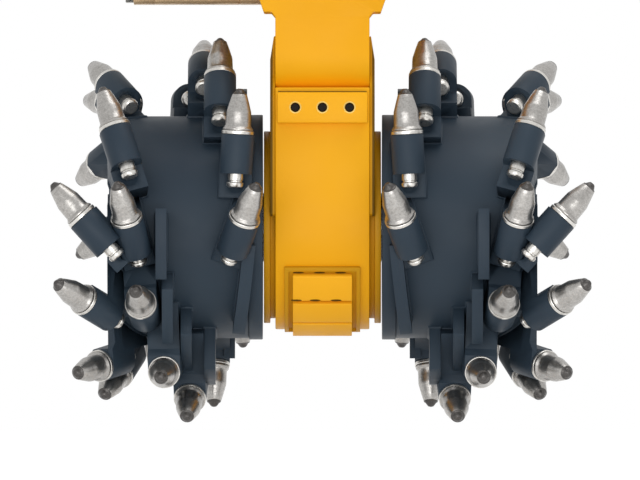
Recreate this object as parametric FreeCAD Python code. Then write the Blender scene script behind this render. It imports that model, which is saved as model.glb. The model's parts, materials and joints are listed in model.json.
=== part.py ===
import FreeCAD, Part
import math
import os
from FreeCAD import Placement, Rotation, Vector

# Twin drum cutter for the arm of an excavator. Two mirrored drums sit on one shaft that
# runs along X through a narrow gear case. The front of the machine faces -Y and the
# carrier flange on top faces +Z. Every piece is drawn about the drum axis, and save()
# lowers it so that the origin is the middle of the flange face. Millimetres and degrees.

# Overall places
FLANGE_RISE = 520       # drum axis up to the face of the carrier flange
DRUM_IN = 87            # middle of the machine to the inner end of a drum
DRUM_OUT = 310          # middle of the machine to the outer end of a drum
RUN_GAP = 0.3           # play between pieces that only pass each other
SEAT_GAP = 0.1          # play of a piece slid into its seat
SMALL_SIDES = 8         # flat sides of the small round pieces that repeat

# Gear train
MODULE = 6
OUTPUT_TEETH = 38
IDLER_TEETH = 36
PINION_TEETH = 19
GEAR_WIDTH = 60
BACKLASH = 0.35
PRESSURE_ANGLE = 20

# Gear case
CASE_HALF = 68.5
CASE_R = 149
CASE_WALL = 14
CASE_ROOF = 33
SHOULDER_Z = 203
NECK_HALF_DEPTH = 126
CAVITY_R = CASE_R - CASE_WALL
CAVITY_HALF_DEPTH = 117.5
SIDE_PLATE = 7.5
SIDE_PLATE_LOW = 16
SIDE_PLATE_HIGH = 277.5
SIDE_PLATE_TAPER = 34
SIDE_PLATE_INSET = 3
SIDE_LEG_R = 6

# Neck plates and carrier flange
NECK_PLATE = 24
NECK_CURVE_TOP = 251
EAR_Z = 312.7
EAR_CHAMFER = 7.3
EAR_IN = 74.3
EAR_OUT = 85.3
EAR_SLOPE = 0.35
EAR_WIDE = 120
FLANGE_THICK = 30
FLANGE_HALF_X = 172
FLANGE_HALF_Y = 185
FLANGE_CORNER_R = 22
FLANGE_HOLE_R = 13
FLANGE_HOLE_X = 146
FLANGE_HOLE_Y = 155

# Bearings, shaft and hubs
CARRIER_SPIGOT_R = CASE_R - 37
CARRIER_BOSS_R = CASE_R - 16
CARRIER_FLANGE_R = CASE_R - 9
CARRIER_END = 85.3
BEARING_OUT_R = 85
BEARING_IN = 44
BEARING_WIDTH = 30
BEARING_ROLLERS = 12
SHAFT_R = 50
GEAR_SEAT_R = 54
SHAFT_END = 214
SHAFT_COLLAR_R = 62
SHAFT_COLLAR = 6
SEAL_OUT_R = 68
SEAL_WIDTH = 10
HUB_IN = 122
HUB_SLEEVE_R = 72
HUB_FLANGE_R = 122
HUB_FLANGE = 22
HUB_BOLT_CIRCLE_R = 98
HUB_BOLTS = 8
HUB_BOLT_R = 10
HUB_SPLINE_R = 46
KEY_WIDTH = 28
KEY_HEIGHT = 14

# Idler and pinion
IDLER_PIN_R = 30
IDLER_BUSH_WALL = 7
PINION_JOURNAL_R = 25
PINION_BEARING_R = 45
PINION_BEARING_WIDTH = 20
PINION_ROLLERS = 8
RUNNING_FIT = 0.05

# Hydraulic gear motor, hung on the left of the case by a plate
MOTOR_PLATE = 12
MOTOR_PLATE_HALF = 68
MOTOR_PLATE_LOW = 316
MOTOR_BELOW = 62
MOTOR_ABOVE = 85
MOTOR_HALF_DEPTH = 56
MOTOR_CORNER_R = 14
MOTOR_END = 287
MOTOR_FRONT_COVER = 40
MOTOR_END_COVER = 30
MOTOR_BOLT_R = 8
MOTOR_BOLT_HEAD = 12
MOTOR_BOLT_INSET = 15
MOTOR_MODULE = 4
MOTOR_TEETH = 12
MOTOR_GEAR_WIDTH = 70
MOTOR_SHAFT_R = 16
MOTOR_JOURNAL_R = 13
PORT_R = 17
PORT_AT = 165

# Drums
DRUM_R = 162
DRUM_WALL = 20
INNER_PLATE = 20
INNER_PLATE_R = DRUM_R + 2
INNER_PLATE_BORE_R = 62
WEB_THICK = 24
END_COVER_THICK = 10
END_COVER_RECESS = 9
END_LEDGE = 14
END_LEDGE_R = 116
END_BOSS_R = 68
FLIGHT_SINK = 14

# Picks: distances run along the pick from the face of its holder
TIP_AT = 67
CAP_BASE_AT = 60
CONE_AT = 34
PICK_R = 20
PICK_CONE_R = 18.6
CAP_R = 8.6
SHANK_R = 11
SHANK_END = 77
HOLDER_LENGTH = 57
HOLDER_R = 23.5
CHIN = 9
FOOT_DEPTH = 100
HEEL_LENGTH = 35
HEEL_TOP = 14
FOOT_OVERHANG = 2
RIM_SEAT = 17
SMALLEST_CRUMB = 1500   # cubic millimetres

# Oil plugs
PLUG_R = 11
PLUG_X = 28
FILLER_Z = 165
LEVEL_Z = 40
DRAIN_Y = 70

# Wear parts and front bar
WEAR_X = 55
WEAR_RIM = 6
WEAR_BASE = 3
WEAR_RIM_HIGH = 7
SLAT_HIGH = 15
SLAT_X = 43
SLAT_ANGLES = ((26, 41), (43, 58), (59.5, 75.5))
BAR_LOW = 151.5
BAR_HIGH = 196
BAR_HALF = CASE_HALF - 3
BAR_THICK = 13
BAR_PITCH = 39.4
BAR_HOLE_R = 7

OUTPUT_Z = 0.0
IDLER_Z = MODULE * (OUTPUT_TEETH + IDLER_TEETH) / 2
PINION_Z = IDLER_Z + MODULE * (IDLER_TEETH + PINION_TEETH) / 2
SIDE_FACE = CASE_HALF + SIDE_PLATE
CAVITY_HALF = CASE_HALF - CASE_WALL
NECK_FRONT = NECK_HALF_DEPTH + NECK_PLATE
FLANGE_UNDER = FLANGE_RISE - FLANGE_THICK
CASE_TOP = FLANGE_UNDER
PLATE_FACE = CASE_HALF + MOTOR_PLATE
HUB_FACE = SHAFT_END + 8
WEB_OUT = HUB_FACE + WEB_THICK
DRUM_BORE_R = DRUM_R - DRUM_WALL

# Lacing plan of the left drum: axial place of the holder face, phase above the front,
# height of the face centre above the shell, splay away from the machine and attack above
# the tangent.
LACING = [
    (114, 2.7, 57, -17, 37),
    (123, 37, 61, -3, 37),
    (149, 68, 72, 0, 37),
    (173, 99, 78, 0, 37),
    (199, 130, 78, 4, 37),
    (227, 161, 74, 6, 37),
    (236, 192, 62, 1, 37),
    (239, 223, 52, 6, 37),
    (114, 176, 57, -14, 37),
    (121, 209, 66, -4, 37),
    (159, 235, 81, 0, 37),
    (193, 280, 90, 4, 37),
    (230, 300, 81, 4, 37),
    (263, 329, 56, 7, 40),
    (283, 2.5, 64, 13, 35),
    (300.5, 37, 74, 17, 19),
    (310, 98, 48, 24, 37),
    (312, 124, 59, 31, 37),
    (325, 155, 60, 30, 37),
    (310, 182, 56, 50, 37),
    (288, 217, 58, 6, 37),
    (298, 274, 51, 19, 37),
    (323, 295, 60, 33, 37),
    (344, 331, 58, 40, 30),
    (347, 3.5, 60, 42, 2),
]

# Flights of the left drum: middle along the axis, first and last phase, height above the
# shell, thickness and skew.
FLIGHTS = [
    (234, -20, 7, 60, 16, 0),
    (225, -50, -24, 60, 16, 0),
    (198, -80, -46, 54, 16, 0),
    (164, -112, -64, 68, 16, 0),
    (114, -57, -8, 24, 18, -6),
    (136, 205, 240, 60, 16, 0),
    (118, 78, 104, 40, 16, 0),
    (245, 132, 160, 43, 16, 0),
    (270, 163, 191, 43, 16, 0),
]


def yz(y, z, x=0.0):
    return Vector(x, y, z)


def disc(radius, x_from, x_to, z=0.0, y=0.0):
    """A plain cylinder along X."""
    low = min(x_from, x_to)
    return Part.makeCylinder(radius, abs(x_to - x_from), Vector(low, y, z), Vector(1, 0, 0))


def tube(radius, bore, x_from, x_to, z=0.0, y=0.0):
    low = min(x_from, x_to)
    high = max(x_from, x_to)
    return disc(radius, low, high, z, y).cut(disc(bore, low - 1, high + 1, z, y))


def box(x_from, x_to, y_from, y_to, z_from, z_to):
    return Part.makeBox(x_to - x_from, y_to - y_from, z_to - z_from, Vector(x_from, y_from, z_from))


def slab(edges, x_from, x_to):
    """A closed outline in the YZ plane, extruded along X."""
    face = Part.Face(Part.Wire(edges))
    face.translate(Vector(x_from, 0, 0))
    return face.extrude(Vector(x_to - x_from, 0, 0))


def polygon_yz(points):
    closed = [yz(y, z) for y, z in points]
    closed.append(closed[0])
    return Part.makePolygon(closed).Edges


def mirrored(shape):
    return shape.mirror(Vector(0, 0, 0), Vector(1, 0, 0))


def both_sides(shape):
    return [shape, mirrored(shape)]


def ring_places(count, radius, start=0.0):
    for index in range(count):
        angle = math.radians(start + 360.0 * index / count)
        yield radius * math.cos(angle), radius * math.sin(angle)


def revolve_x(points):
    """A turned piece about the drum axis, from (x, radius) points."""
    line = [Vector(x, 0, r) for x, r in points]
    line.append(line[0])
    face = Part.Face(Part.makePolygon(line))
    return face.revolve(Vector(0, 0, 0), Vector(1, 0, 0), 360)


def turned(points):
    """A small turned piece about local Z, from (radius, place) points, with few flat sides."""
    rings = []
    for radius, place in points:
        ring = []
        for index in range(SMALL_SIDES + 1):
            angle = 2 * math.pi * (index % SMALL_SIDES) / SMALL_SIDES
            ring.append(Vector(radius * math.cos(angle), radius * math.sin(angle), place))
        rings.append(ring)
    faces = [Part.Face(Part.makePolygon(rings[0])), Part.Face(Part.makePolygon(rings[-1]))]
    for lower, upper in zip(rings, rings[1:]):
        for index in range(SMALL_SIDES):
            corners = [lower[index], lower[index + 1], upper[index + 1], upper[index]]
            faces.append(Part.Face(Part.makePolygon(corners + corners[:1])))
    solid = Part.Solid(Part.Shell(faces))
    if solid.Volume < 0:
        solid.reverse()
    return solid


def peg(radius, z_from, z_to):
    return turned([(radius, z_from), (radius, z_to)])


def peg_x(radius, x_from, x_to, y, z):
    """A small round piece or hole along X."""
    return aimed(peg(radius, 0, x_to - x_from), Vector(x_from, y, z), Vector(1, 0, 0))


def hex_head(head_r, head_high):
    corners = []
    for index in range(7):
        angle = math.radians(60 * index)
        corners.append(Vector(head_r * math.cos(angle), head_r * math.sin(angle), 0))
    return Part.Face(Part.makePolygon(corners)).extrude(Vector(0, 0, head_high))


def hex_bolt(head_r, head_high, shank_r, shank_long):
    """A hexagon-head bolt along local Z, its seat at 0 and its shank below."""
    return hex_head(head_r, head_high).fuse(peg(shank_r, -shank_long, 0))


def aimed(shape, place, direction):
    """Turns local Z to the direction and moves the piece to its place."""
    piece = shape.copy()
    piece.Placement = Placement(place, Rotation(Vector(0, 0, 1), direction))
    return piece


# Gears

def gear_outline(teeth, phase, module):
    """Tooth outline in the YZ plane: root, pitch line and tip of each involute flank."""
    pitch_r = module * teeth / 2.0
    base_r = pitch_r * math.cos(math.radians(PRESSURE_ANGLE))
    root_r = pitch_r - 1.25 * module
    half_pitch = math.pi / (2 * teeth) - BACKLASH / (4 * pitch_r)
    involute = math.tan(math.radians(PRESSURE_ANGLE)) - math.radians(PRESSURE_ANGLE)
    flank = []
    for radius in (root_r, pitch_r, pitch_r + module):
        turn = math.acos(min(1.0, base_r / radius))
        flank.append((radius, half_pitch + involute - (math.tan(turn) - turn)))
    points = []
    for index in range(teeth):
        middle = math.radians(phase) + 2 * math.pi * index / teeth
        for radius, spread in flank:
            points.append((radius, middle - spread))
        for radius, spread in reversed(flank):
            points.append((radius, middle + spread))
    return [(r * math.cos(a), r * math.sin(a)) for r, a in points]


def spur_gear(teeth, phase, bore, z):
    outline = [(y, height + z) for y, height in gear_outline(teeth, phase, MODULE)]
    blank = slab(polygon_yz(outline), -GEAR_WIDTH / 2.0, GEAR_WIDTH / 2.0)
    return blank.cut(disc(bore, -GEAR_WIDTH, GEAR_WIDTH, z))


def output_gear():
    gear = spur_gear(OUTPUT_TEETH, 90.0, GEAR_SEAT_R, OUTPUT_Z)
    keyway = box(-GEAR_WIDTH, GEAR_WIDTH, -KEY_WIDTH / 2.0, KEY_WIDTH / 2.0, 0,
                 GEAR_SEAT_R + KEY_HEIGHT / 2.0)
    return gear.cut(keyway)


def idler_gear():
    half_tooth = 180.0 / IDLER_TEETH
    bore = IDLER_PIN_R + IDLER_BUSH_WALL
    return spur_gear(IDLER_TEETH, -90.0 + half_tooth, bore, IDLER_Z)


def pinion_phase():
    """The idler tooth pattern seen from the pinion decides how the pinion is turned."""
    idler_step = 360.0 / IDLER_TEETH
    idler_at_top = (90.0 - (-90.0 + idler_step / 2.0)) / idler_step
    fraction = idler_at_top - math.floor(idler_at_top)
    pinion_step = 360.0 / PINION_TEETH
    return -90.0 + (0.5 + fraction) * pinion_step


def pinion():
    gear = spur_gear(PINION_TEETH, pinion_phase(), MOTOR_SHAFT_R, PINION_Z)
    half = GEAR_WIDTH / 2.0
    journal_end = CASE_HALF - 2
    for x_from, x_to in ((half, journal_end), (-journal_end, -half)):
        gear = gear.fuse(tube(PINION_JOURNAL_R, MOTOR_SHAFT_R, x_from, x_to, PINION_Z))
    return gear


# Gear case

def case_outline():
    """Side outline: round under the drum shaft, with a shoulder and a straight neck."""
    r = CASE_R
    neck = NECK_HALF_DEPTH
    return [
        Part.Arc(yz(-r, 0), yz(0, -r), yz(r, 0)).toShape(),
        Part.LineSegment(yz(r, 0), yz(r, SHOULDER_Z)).toShape(),
        Part.LineSegment(yz(r, SHOULDER_Z), yz(neck, SHOULDER_Z)).toShape(),
        Part.LineSegment(yz(neck, SHOULDER_Z), yz(neck, CASE_TOP)).toShape(),
        Part.LineSegment(yz(neck, CASE_TOP), yz(-neck, CASE_TOP)).toShape(),
        Part.LineSegment(yz(-neck, CASE_TOP), yz(-neck, SHOULDER_Z)).toShape(),
        Part.LineSegment(yz(-neck, SHOULDER_Z), yz(-r, SHOULDER_Z)).toShape(),
        Part.LineSegment(yz(-r, SHOULDER_Z), yz(-r, 0)).toShape(),
    ]


def cavity_shape(play, x_from, x_to):
    """The gear chamber: a round sump, straight sides and a round top."""
    half = CAVITY_HALF_DEPTH - play
    top_centre = CASE_TOP - CASE_ROOF - CAVITY_HALF_DEPTH
    sump = disc(CAVITY_R - play, x_from, x_to)
    sides = box(x_from, x_to, -half, half, 0, top_centre)
    top = disc(half, x_from, x_to, top_centre)
    return sump.fuse([sides, top]).removeSplitter()


def gear_case():
    body = slab(case_outline(), -CASE_HALF, CASE_HALF)
    body = body.cut(cavity_shape(0, -CASE_HALF - 1, CAVITY_HALF))
    body = body.cut(disc(CARRIER_SPIGOT_R + SEAT_GAP, 0, CASE_HALF + 1))
    body = body.cut(disc(IDLER_PIN_R, 0, CASE_HALF + 1, IDLER_Z))
    body = body.cut(disc(PINION_BEARING_R, 0, CASE_HALF + 1, PINION_Z))
    for place, direction in plug_places():
        body = body.cut(aimed(peg(PLUG_R, -60, 20), place, direction))
    return body


def plug_places():
    """Filler, level and drain plugs: two on the back of the case and one below."""
    back = CASE_R
    low = math.sqrt(CASE_R ** 2 - DRAIN_Y ** 2)
    return [
        (Vector(PLUG_X, back, FILLER_Z), Vector(0, 1, 0)),
        (Vector(-PLUG_X, back, LEVEL_Z), Vector(0, 1, 0)),
        (Vector(0, DRAIN_Y, -low), Vector(0, DRAIN_Y, -low)),
    ]


def oil_plugs():
    plug = hex_bolt(PLUG_R + 6, 10, PLUG_R, CASE_WALL)
    return [aimed(plug, place, direction) for place, direction in plug_places()]


def side_plate_outline():
    """Horseshoe over the case side: two rounded legs beside the bearing carrier."""
    half = CASE_R - SIDE_PLATE_INSET
    neck = NECK_HALF_DEPTH
    points = [(-half, SIDE_PLATE_LOW), (half, SIDE_PLATE_LOW), (half, SHOULDER_Z - 12),
              (neck, SHOULDER_Z + 18), (neck, SIDE_PLATE_HIGH), (-neck, SIDE_PLATE_HIGH),
              (-neck, SHOULDER_Z + 18), (-half, SHOULDER_Z - 12)]
    return polygon_yz(points)


def side_plate():
    """The right-hand plate, from the case side outwards, its upper edge bevelled."""
    plate = slab(side_plate_outline(), CASE_HALF, SIDE_FACE)
    plate = plate.cut(disc(CARRIER_BOSS_R + RUN_GAP, 0, SIDE_FACE + 1))
    bevel = Part.makePolygon([
        Vector(CASE_HALF + 2, 0, SIDE_PLATE_HIGH + 1),
        Vector(SIDE_FACE + 1, 0, SIDE_PLATE_HIGH + 1),
        Vector(SIDE_FACE + 1, 0, SIDE_PLATE_HIGH - SIDE_PLATE_TAPER),
        Vector(SIDE_FACE, 0, SIDE_PLATE_HIGH - SIDE_PLATE_TAPER),
        Vector(CASE_HALF + 2, 0, SIDE_PLATE_HIGH + 1)])
    wedge = Part.Face(bevel).extrude(Vector(0, 4 * CASE_R, 0))
    wedge.translate(Vector(0, -2 * CASE_R, 0))
    plate = plate.cut(wedge)
    legs = []
    for edge in plate.Edges:
        centre = edge.CenterOfMass
        if edge.BoundBox.XLength > SIDE_PLATE - 0.01 and abs(centre.z - SIDE_PLATE_LOW) < 0.01:
            legs.append(edge)
    return plate.makeFillet(SIDE_LEG_R, legs)


def case_cover():
    """The left side of the case: a plate let into the chamber and bolted over its rim."""
    spigot = cavity_shape(SEAT_GAP, -CASE_HALF, -CAVITY_HALF)
    cover = spigot.fuse(mirrored(side_plate())).removeSplitter()
    cover = cover.cut(disc(CARRIER_SPIGOT_R + SEAT_GAP, -CASE_HALF - 0.01, 0))
    cover = cover.cut(disc(IDLER_PIN_R, -SIDE_FACE - 1, 0, IDLER_Z))
    return cover.cut(disc(PINION_BEARING_R, -SIDE_FACE - 1, 0, PINION_Z))


# Bearing carriers, bearings and seals

def bearing_carrier():
    """Flanged ring that closes the case side round the shaft and holds the bearing."""
    bearing_end = BEARING_IN + BEARING_WIDTH
    return revolve_x([
        (BEARING_IN, BEARING_OUT_R), (BEARING_IN, CARRIER_SPIGOT_R - 12),
        (CAVITY_HALF, CARRIER_SPIGOT_R - 12), (CAVITY_HALF, CARRIER_SPIGOT_R),
        (CASE_HALF, CARRIER_SPIGOT_R), (CASE_HALF, CARRIER_BOSS_R),
        (SIDE_FACE, CARRIER_BOSS_R), (SIDE_FACE, CARRIER_FLANGE_R),
        (CARRIER_END, CARRIER_FLANGE_R), (CARRIER_END, SEAL_OUT_R), (bearing_end, SEAL_OUT_R),
        (bearing_end, BEARING_OUT_R)])


def bearing_cups(out_r, roller_r, pitch_r, x_from, x_to, z=0.0):
    return tube(out_r, pitch_r + roller_r + RUN_GAP, x_from, x_to, z)


def bearing_cones(bore_r, roller_r, pitch_r, x_from, x_to, z=0.0):
    return tube(pitch_r - roller_r - SEAT_GAP, bore_r, x_from, x_to, z)


def main_bearing_sizes():
    pitch_r = (BEARING_OUT_R + SHAFT_R) / 2.0
    roller_r = 0.21 * (BEARING_OUT_R - SHAFT_R)
    return pitch_r, roller_r


def main_bearing_rollers():
    pitch_r, roller_r = main_bearing_sizes()
    rollers = []
    for y, z in ring_places(BEARING_ROLLERS, pitch_r):
        x_from = BEARING_IN + 3
        rollers += both_sides(peg_x(roller_r, x_from, BEARING_IN + BEARING_WIDTH - 3, y, z))
    return rollers


# Shaft and hubs

def output_shaft():
    half = GEAR_WIDTH / 2.0
    shaft = revolve_x([
        (-SHAFT_END, 0), (-SHAFT_END, HUB_SPLINE_R), (-HUB_IN, HUB_SPLINE_R), (-HUB_IN, SHAFT_R),
        (-half, SHAFT_R), (-half, GEAR_SEAT_R), (half, GEAR_SEAT_R), (half, SHAFT_COLLAR_R),
        (BEARING_IN, SHAFT_COLLAR_R), (BEARING_IN, SHAFT_R), (HUB_IN, SHAFT_R),
        (HUB_IN, HUB_SPLINE_R), (SHAFT_END, HUB_SPLINE_R), (SHAFT_END, 0)])
    return shaft.cut(key_block())


def key_block():
    half = GEAR_WIDTH / 2.0 - 4
    return box(-half, half, -KEY_WIDTH / 2.0, KEY_WIDTH / 2.0,
               GEAR_SEAT_R - KEY_HEIGHT / 2.0, GEAR_SEAT_R + KEY_HEIGHT / 2.0)


def shaft_hub():
    flange_in = HUB_FACE - HUB_FLANGE
    hub = revolve_x([
        (HUB_IN, HUB_SPLINE_R), (HUB_IN, HUB_SLEEVE_R), (flange_in, HUB_SLEEVE_R),
        (flange_in, HUB_FLANGE_R), (HUB_FACE, HUB_FLANGE_R), (HUB_FACE, HUB_SPLINE_R)])
    for y, z in ring_places(HUB_BOLTS, HUB_BOLT_CIRCLE_R):
        hub = hub.cut(peg_x(HUB_BOLT_R, flange_in - 1, HUB_FACE + 1, y, z))
    return hub


def hub_retainer():
    """Plate and pilot on the shaft end that keep the hub from sliding off."""
    return revolve_x([
        (SHAFT_END, 0), (SHAFT_END, HUB_SPLINE_R - SEAT_GAP), (HUB_FACE, HUB_SPLINE_R - SEAT_GAP),
        (HUB_FACE, HUB_SPLINE_R + 12), (HUB_FACE + 14, HUB_SPLINE_R + 12), (HUB_FACE + 14, 0)])


def hub_bolts():
    bolt = hex_bolt(HUB_BOLT_R * 1.65, 12, HUB_BOLT_R, WEB_THICK + HUB_FLANGE)
    return [aimed(bolt, Vector(WEB_OUT, y, z), Vector(1, 0, 0))
            for y, z in ring_places(HUB_BOLTS, HUB_BOLT_CIRCLE_R)]


# Pinion bearings: on each side a row of short rollers that run on the journal itself

def pinion_roller_sizes():
    roller_r = 0.3 * (PINION_BEARING_R - PINION_JOURNAL_R)
    return PINION_JOURNAL_R + roller_r, roller_r


def pinion_rollers():
    pitch_r, roller_r = pinion_roller_sizes()
    x_from = CASE_HALF - PINION_BEARING_WIDTH + 2
    rollers = []
    for y, z in ring_places(PINION_ROLLERS, pitch_r):
        rollers += both_sides(peg_x(roller_r, x_from, CASE_HALF - 2, y, z + PINION_Z))
    return rollers


# Motor

def motor_section(x_from, x_to):
    low = PINION_Z - MOTOR_BELOW
    high = PINION_Z + MOTOR_ABOVE
    block = box(x_from, x_to, -MOTOR_HALF_DEPTH, MOTOR_HALF_DEPTH, low, high)
    corners = [edge for edge in block.Edges if edge.BoundBox.XLength > 1]
    return block.makeFillet(MOTOR_CORNER_R, corners)


def motor_gear_z():
    return PINION_Z + MOTOR_MODULE * MOTOR_TEETH


def motor_bolt_places():
    inset = MOTOR_BOLT_INSET
    low = PINION_Z - MOTOR_BELOW + inset
    high = PINION_Z + MOTOR_ABOVE - inset
    side = MOTOR_HALF_DEPTH - inset
    return [(side, low), (-side, low), (side, high), (-side, high)]


def motor_places():
    """Places along X where the motor's castings meet, from the case outwards."""
    front = -PLATE_FACE
    body = front - MOTOR_FRONT_COVER
    end = -(MOTOR_END - MOTOR_BOLT_HEAD)
    back = end + MOTOR_END_COVER
    return front, body, back, end


def motor_drilled(piece):
    front, body, back, end = motor_places()
    for y, z in motor_bolt_places():
        piece = piece.cut(peg_x(MOTOR_BOLT_R, end - 1, front + 1, y, z))
    piece = piece.cut(disc(MOTOR_JOURNAL_R + RUN_GAP, end + 12, front + 1, PINION_Z))
    return piece.cut(disc(MOTOR_JOURNAL_R + RUN_GAP, end + 12, front - 12, motor_gear_z()))


def motor_front_cover():
    front, body, back, end = motor_places()
    cover = motor_drilled(motor_section(body, front))
    return cover.cut(disc(MOTOR_SHAFT_R + RUN_GAP, body + 18, front + 1, PINION_Z))


def motor_gear_span():
    front, body, back, end = motor_places()
    middle = (body + back) / 2.0
    return middle - MOTOR_GEAR_WIDTH / 2.0, middle + MOTOR_GEAR_WIDTH / 2.0


def motor_body():
    front, body, back, end = motor_places()
    low, high = motor_gear_span()
    piece = motor_drilled(motor_section(back, body))
    tip_r = MOTOR_MODULE * (MOTOR_TEETH / 2.0 + 1) + RUN_GAP
    for z in (PINION_Z, motor_gear_z()):
        piece = piece.cut(disc(tip_r, low - RUN_GAP, high + RUN_GAP, z))
    return piece


def motor_end_cover():
    front, body, back, end = motor_places()
    return motor_drilled(motor_section(end, back))


def motor_gear(z, phase, journal_to):
    low, high = motor_gear_span()
    outline = [(y, height + z) for y, height in gear_outline(MOTOR_TEETH, phase, MOTOR_MODULE)]
    gear = slab(polygon_yz(outline), low, high)
    front, body, back, end = motor_places()
    return gear.fuse(disc(MOTOR_JOURNAL_R, end + 13, journal_to, z))


def motor_shaft():
    """Driving gear, its journals and the drive end inside the pinion, in one piece."""
    front, body, back, end = motor_places()
    gear = motor_gear(PINION_Z, 90.0, body + 20)
    return gear.fuse(disc(MOTOR_SHAFT_R, body + 19, CAVITY_HALF, PINION_Z)).removeSplitter()


def motor_driven_gear():
    front, body, back, end = motor_places()
    return motor_gear(motor_gear_z(), -90.0 + 180.0 / MOTOR_TEETH, front - 13).removeSplitter()


def motor_plate():
    """Square plate between the case side and the motor."""
    half = MOTOR_PLATE_HALF
    plate = box(-PLATE_FACE, -CASE_HALF, -half, half, MOTOR_PLATE_LOW, CASE_TOP - 6)
    plate = plate.cut(disc(MOTOR_SHAFT_R + 6, -PLATE_FACE - 1, -CASE_HALF + 1, PINION_Z))
    for y, z in motor_bolt_places():
        plate = plate.cut(peg_x(MOTOR_BOLT_R, -PLATE_FACE - 1, -CASE_HALF + 1, y, z))
    return plate


def motor_bolts():
    """Four long bolts through the whole motor into its plate, heads at the far end."""
    front, body, back, end = motor_places()
    pieces = []
    for y, z in motor_bolt_places():
        head = aimed(hex_head(12, MOTOR_BOLT_HEAD), Vector(end, y, z), Vector(-1, 0, 0))
        pieces.append(head.fuse(peg_x(MOTOR_BOLT_R, end, -CASE_HALF, y, z)))
    return pieces


def port_fitting():
    """Hose adapter on the flat side of the motor: flange, hexagon and threaded nose."""
    flange = box(-26, 26, -26, 26, 0, 12)
    corners = [edge for edge in flange.Edges if edge.BoundBox.ZLength > 1]
    fitting = flange.makeFillet(8, corners)
    hexagon = hex_head(23, 14)
    hexagon.translate(Vector(0, 0, 12))
    nose = Part.makeCylinder(PORT_R, 22, Vector(0, 0, 26))
    bore = Part.makeCylinder(PORT_R - 6, 60, Vector(0, 0, 4))
    return fitting.fuse([hexagon, nose]).removeSplitter().cut(bore)


def port_fittings():
    z = PINION_Z + MOTOR_MODULE * MOTOR_TEETH / 2.0
    pieces = []
    for sign in (-1, 1):
        place = Vector(-PORT_AT, sign * MOTOR_HALF_DEPTH, z)
        pieces.append(aimed(port_fitting(), place, Vector(0, sign, 0)))
    return pieces


def pinion_cap():
    """Round cover over the far end of the pinion."""
    return disc(PINION_BEARING_R + 14, CASE_HALF, CASE_HALF + 10, PINION_Z)


# Neck plates and carrier flange

def neck_plate():
    """Front plate of the neck: curved under at its foot, with ears below the flange."""
    rise = (EAR_WIDE - EAR_OUT) / EAR_SLOPE
    right = [
        (CASE_HALF, SHOULDER_Z), (CASE_HALF, EAR_Z - EAR_CHAMFER), (EAR_IN, EAR_Z),
        (EAR_OUT, EAR_Z), (EAR_WIDE, EAR_Z + rise), (EAR_WIDE, FLANGE_UNDER)]
    outline = [Vector(x, 0, z) for x, z in right]
    outline += [Vector(-x, 0, z) for x, z in reversed(right)]
    outline.append(outline[0])
    plate = Part.Face(Part.makePolygon(outline)).extrude(Vector(0, -NECK_PLATE, 0))
    plate.translate(Vector(0, -NECK_HALF_DEPTH, 0))
    drop = NECK_CURVE_TOP - SHOULDER_Z
    curve_r = (NECK_PLATE ** 2 + drop ** 2) / (2.0 * NECK_PLATE)
    turn = math.asin(drop / curve_r) / 2
    centre_y = -NECK_FRONT + curve_r
    middle = yz(centre_y - curve_r * math.cos(turn), NECK_CURVE_TOP - curve_r * math.sin(turn))
    foot = yz(-NECK_HALF_DEPTH, SHOULDER_Z)
    top = yz(-NECK_FRONT, NECK_CURVE_TOP)
    profile = [
        Part.Arc(foot, middle, top).toShape(),
        Part.LineSegment(top, yz(-NECK_FRONT, FLANGE_UNDER)).toShape(),
        Part.LineSegment(yz(-NECK_FRONT, FLANGE_UNDER), yz(-NECK_HALF_DEPTH, FLANGE_UNDER)).toShape(),
        Part.LineSegment(yz(-NECK_HALF_DEPTH, FLANGE_UNDER), foot).toShape()]
    return plate.common(slab(profile, -EAR_WIDE - 1, EAR_WIDE + 1))


def flange_holes():
    places = []
    for x in (-FLANGE_HOLE_X, FLANGE_HOLE_X):
        for y in (-FLANGE_HOLE_Y, FLANGE_HOLE_Y):
            places.append((x, y))
    return places


def carrier_flange():
    plate = box(-FLANGE_HALF_X, FLANGE_HALF_X, -FLANGE_HALF_Y, FLANGE_HALF_Y,
                FLANGE_UNDER, FLANGE_RISE)
    corners = [edge for edge in plate.Edges if edge.BoundBox.ZLength > 1]
    plate = plate.makeFillet(FLANGE_CORNER_R, corners)
    for x, y in flange_holes():
        plate = plate.cut(Part.makeCylinder(FLANGE_HOLE_R, FLANGE_THICK + 2,
                                            Vector(x, y, FLANGE_UNDER - 1)))
    return plate


# Front bar and wear parts

def bar_hole_places():
    return [-BAR_PITCH, 0, BAR_PITCH]


def front_bar():
    bar = box(-BAR_HALF, BAR_HALF, -CASE_R - BAR_THICK, -CASE_R, BAR_LOW, BAR_HIGH)
    middle = (BAR_LOW + BAR_HIGH) / 2.0
    for x in bar_hole_places():
        start = Vector(x, -CASE_R + 1, middle)
        bar = bar.cut(Part.makeCylinder(BAR_HOLE_R, BAR_THICK + 2, start, Vector(0, -1, 0)))
    return bar


def arc_band(inner_r, outer_r, half_x, phase_from, phase_to):
    """A band round the drum axis; phases run up from the front horizontal."""
    def point(radius, phase):
        turn = math.radians(phase)
        return yz(-radius * math.cos(turn), radius * math.sin(turn))
    middle = (phase_from + phase_to) / 2.0
    outer = Part.Arc(point(outer_r, phase_from), point(outer_r, middle), point(outer_r, phase_to))
    inner = Part.Arc(point(inner_r, phase_to), point(inner_r, middle), point(inner_r, phase_from))
    first = Part.LineSegment(point(outer_r, phase_to), point(inner_r, phase_to))
    last = Part.LineSegment(point(inner_r, phase_from), point(outer_r, phase_from))
    return slab([piece.toShape() for piece in (outer, first, inner, last)], -half_x, half_x)


def wear_frame():
    frame = arc_band(CASE_R, CASE_R + WEAR_RIM_HIGH, WEAR_X, -79, -22.3)
    pocket = arc_band(CASE_R + WEAR_BASE, CASE_R + 20, WEAR_X - WEAR_RIM, -77, -24.6)
    return frame.cut(pocket)


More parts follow.
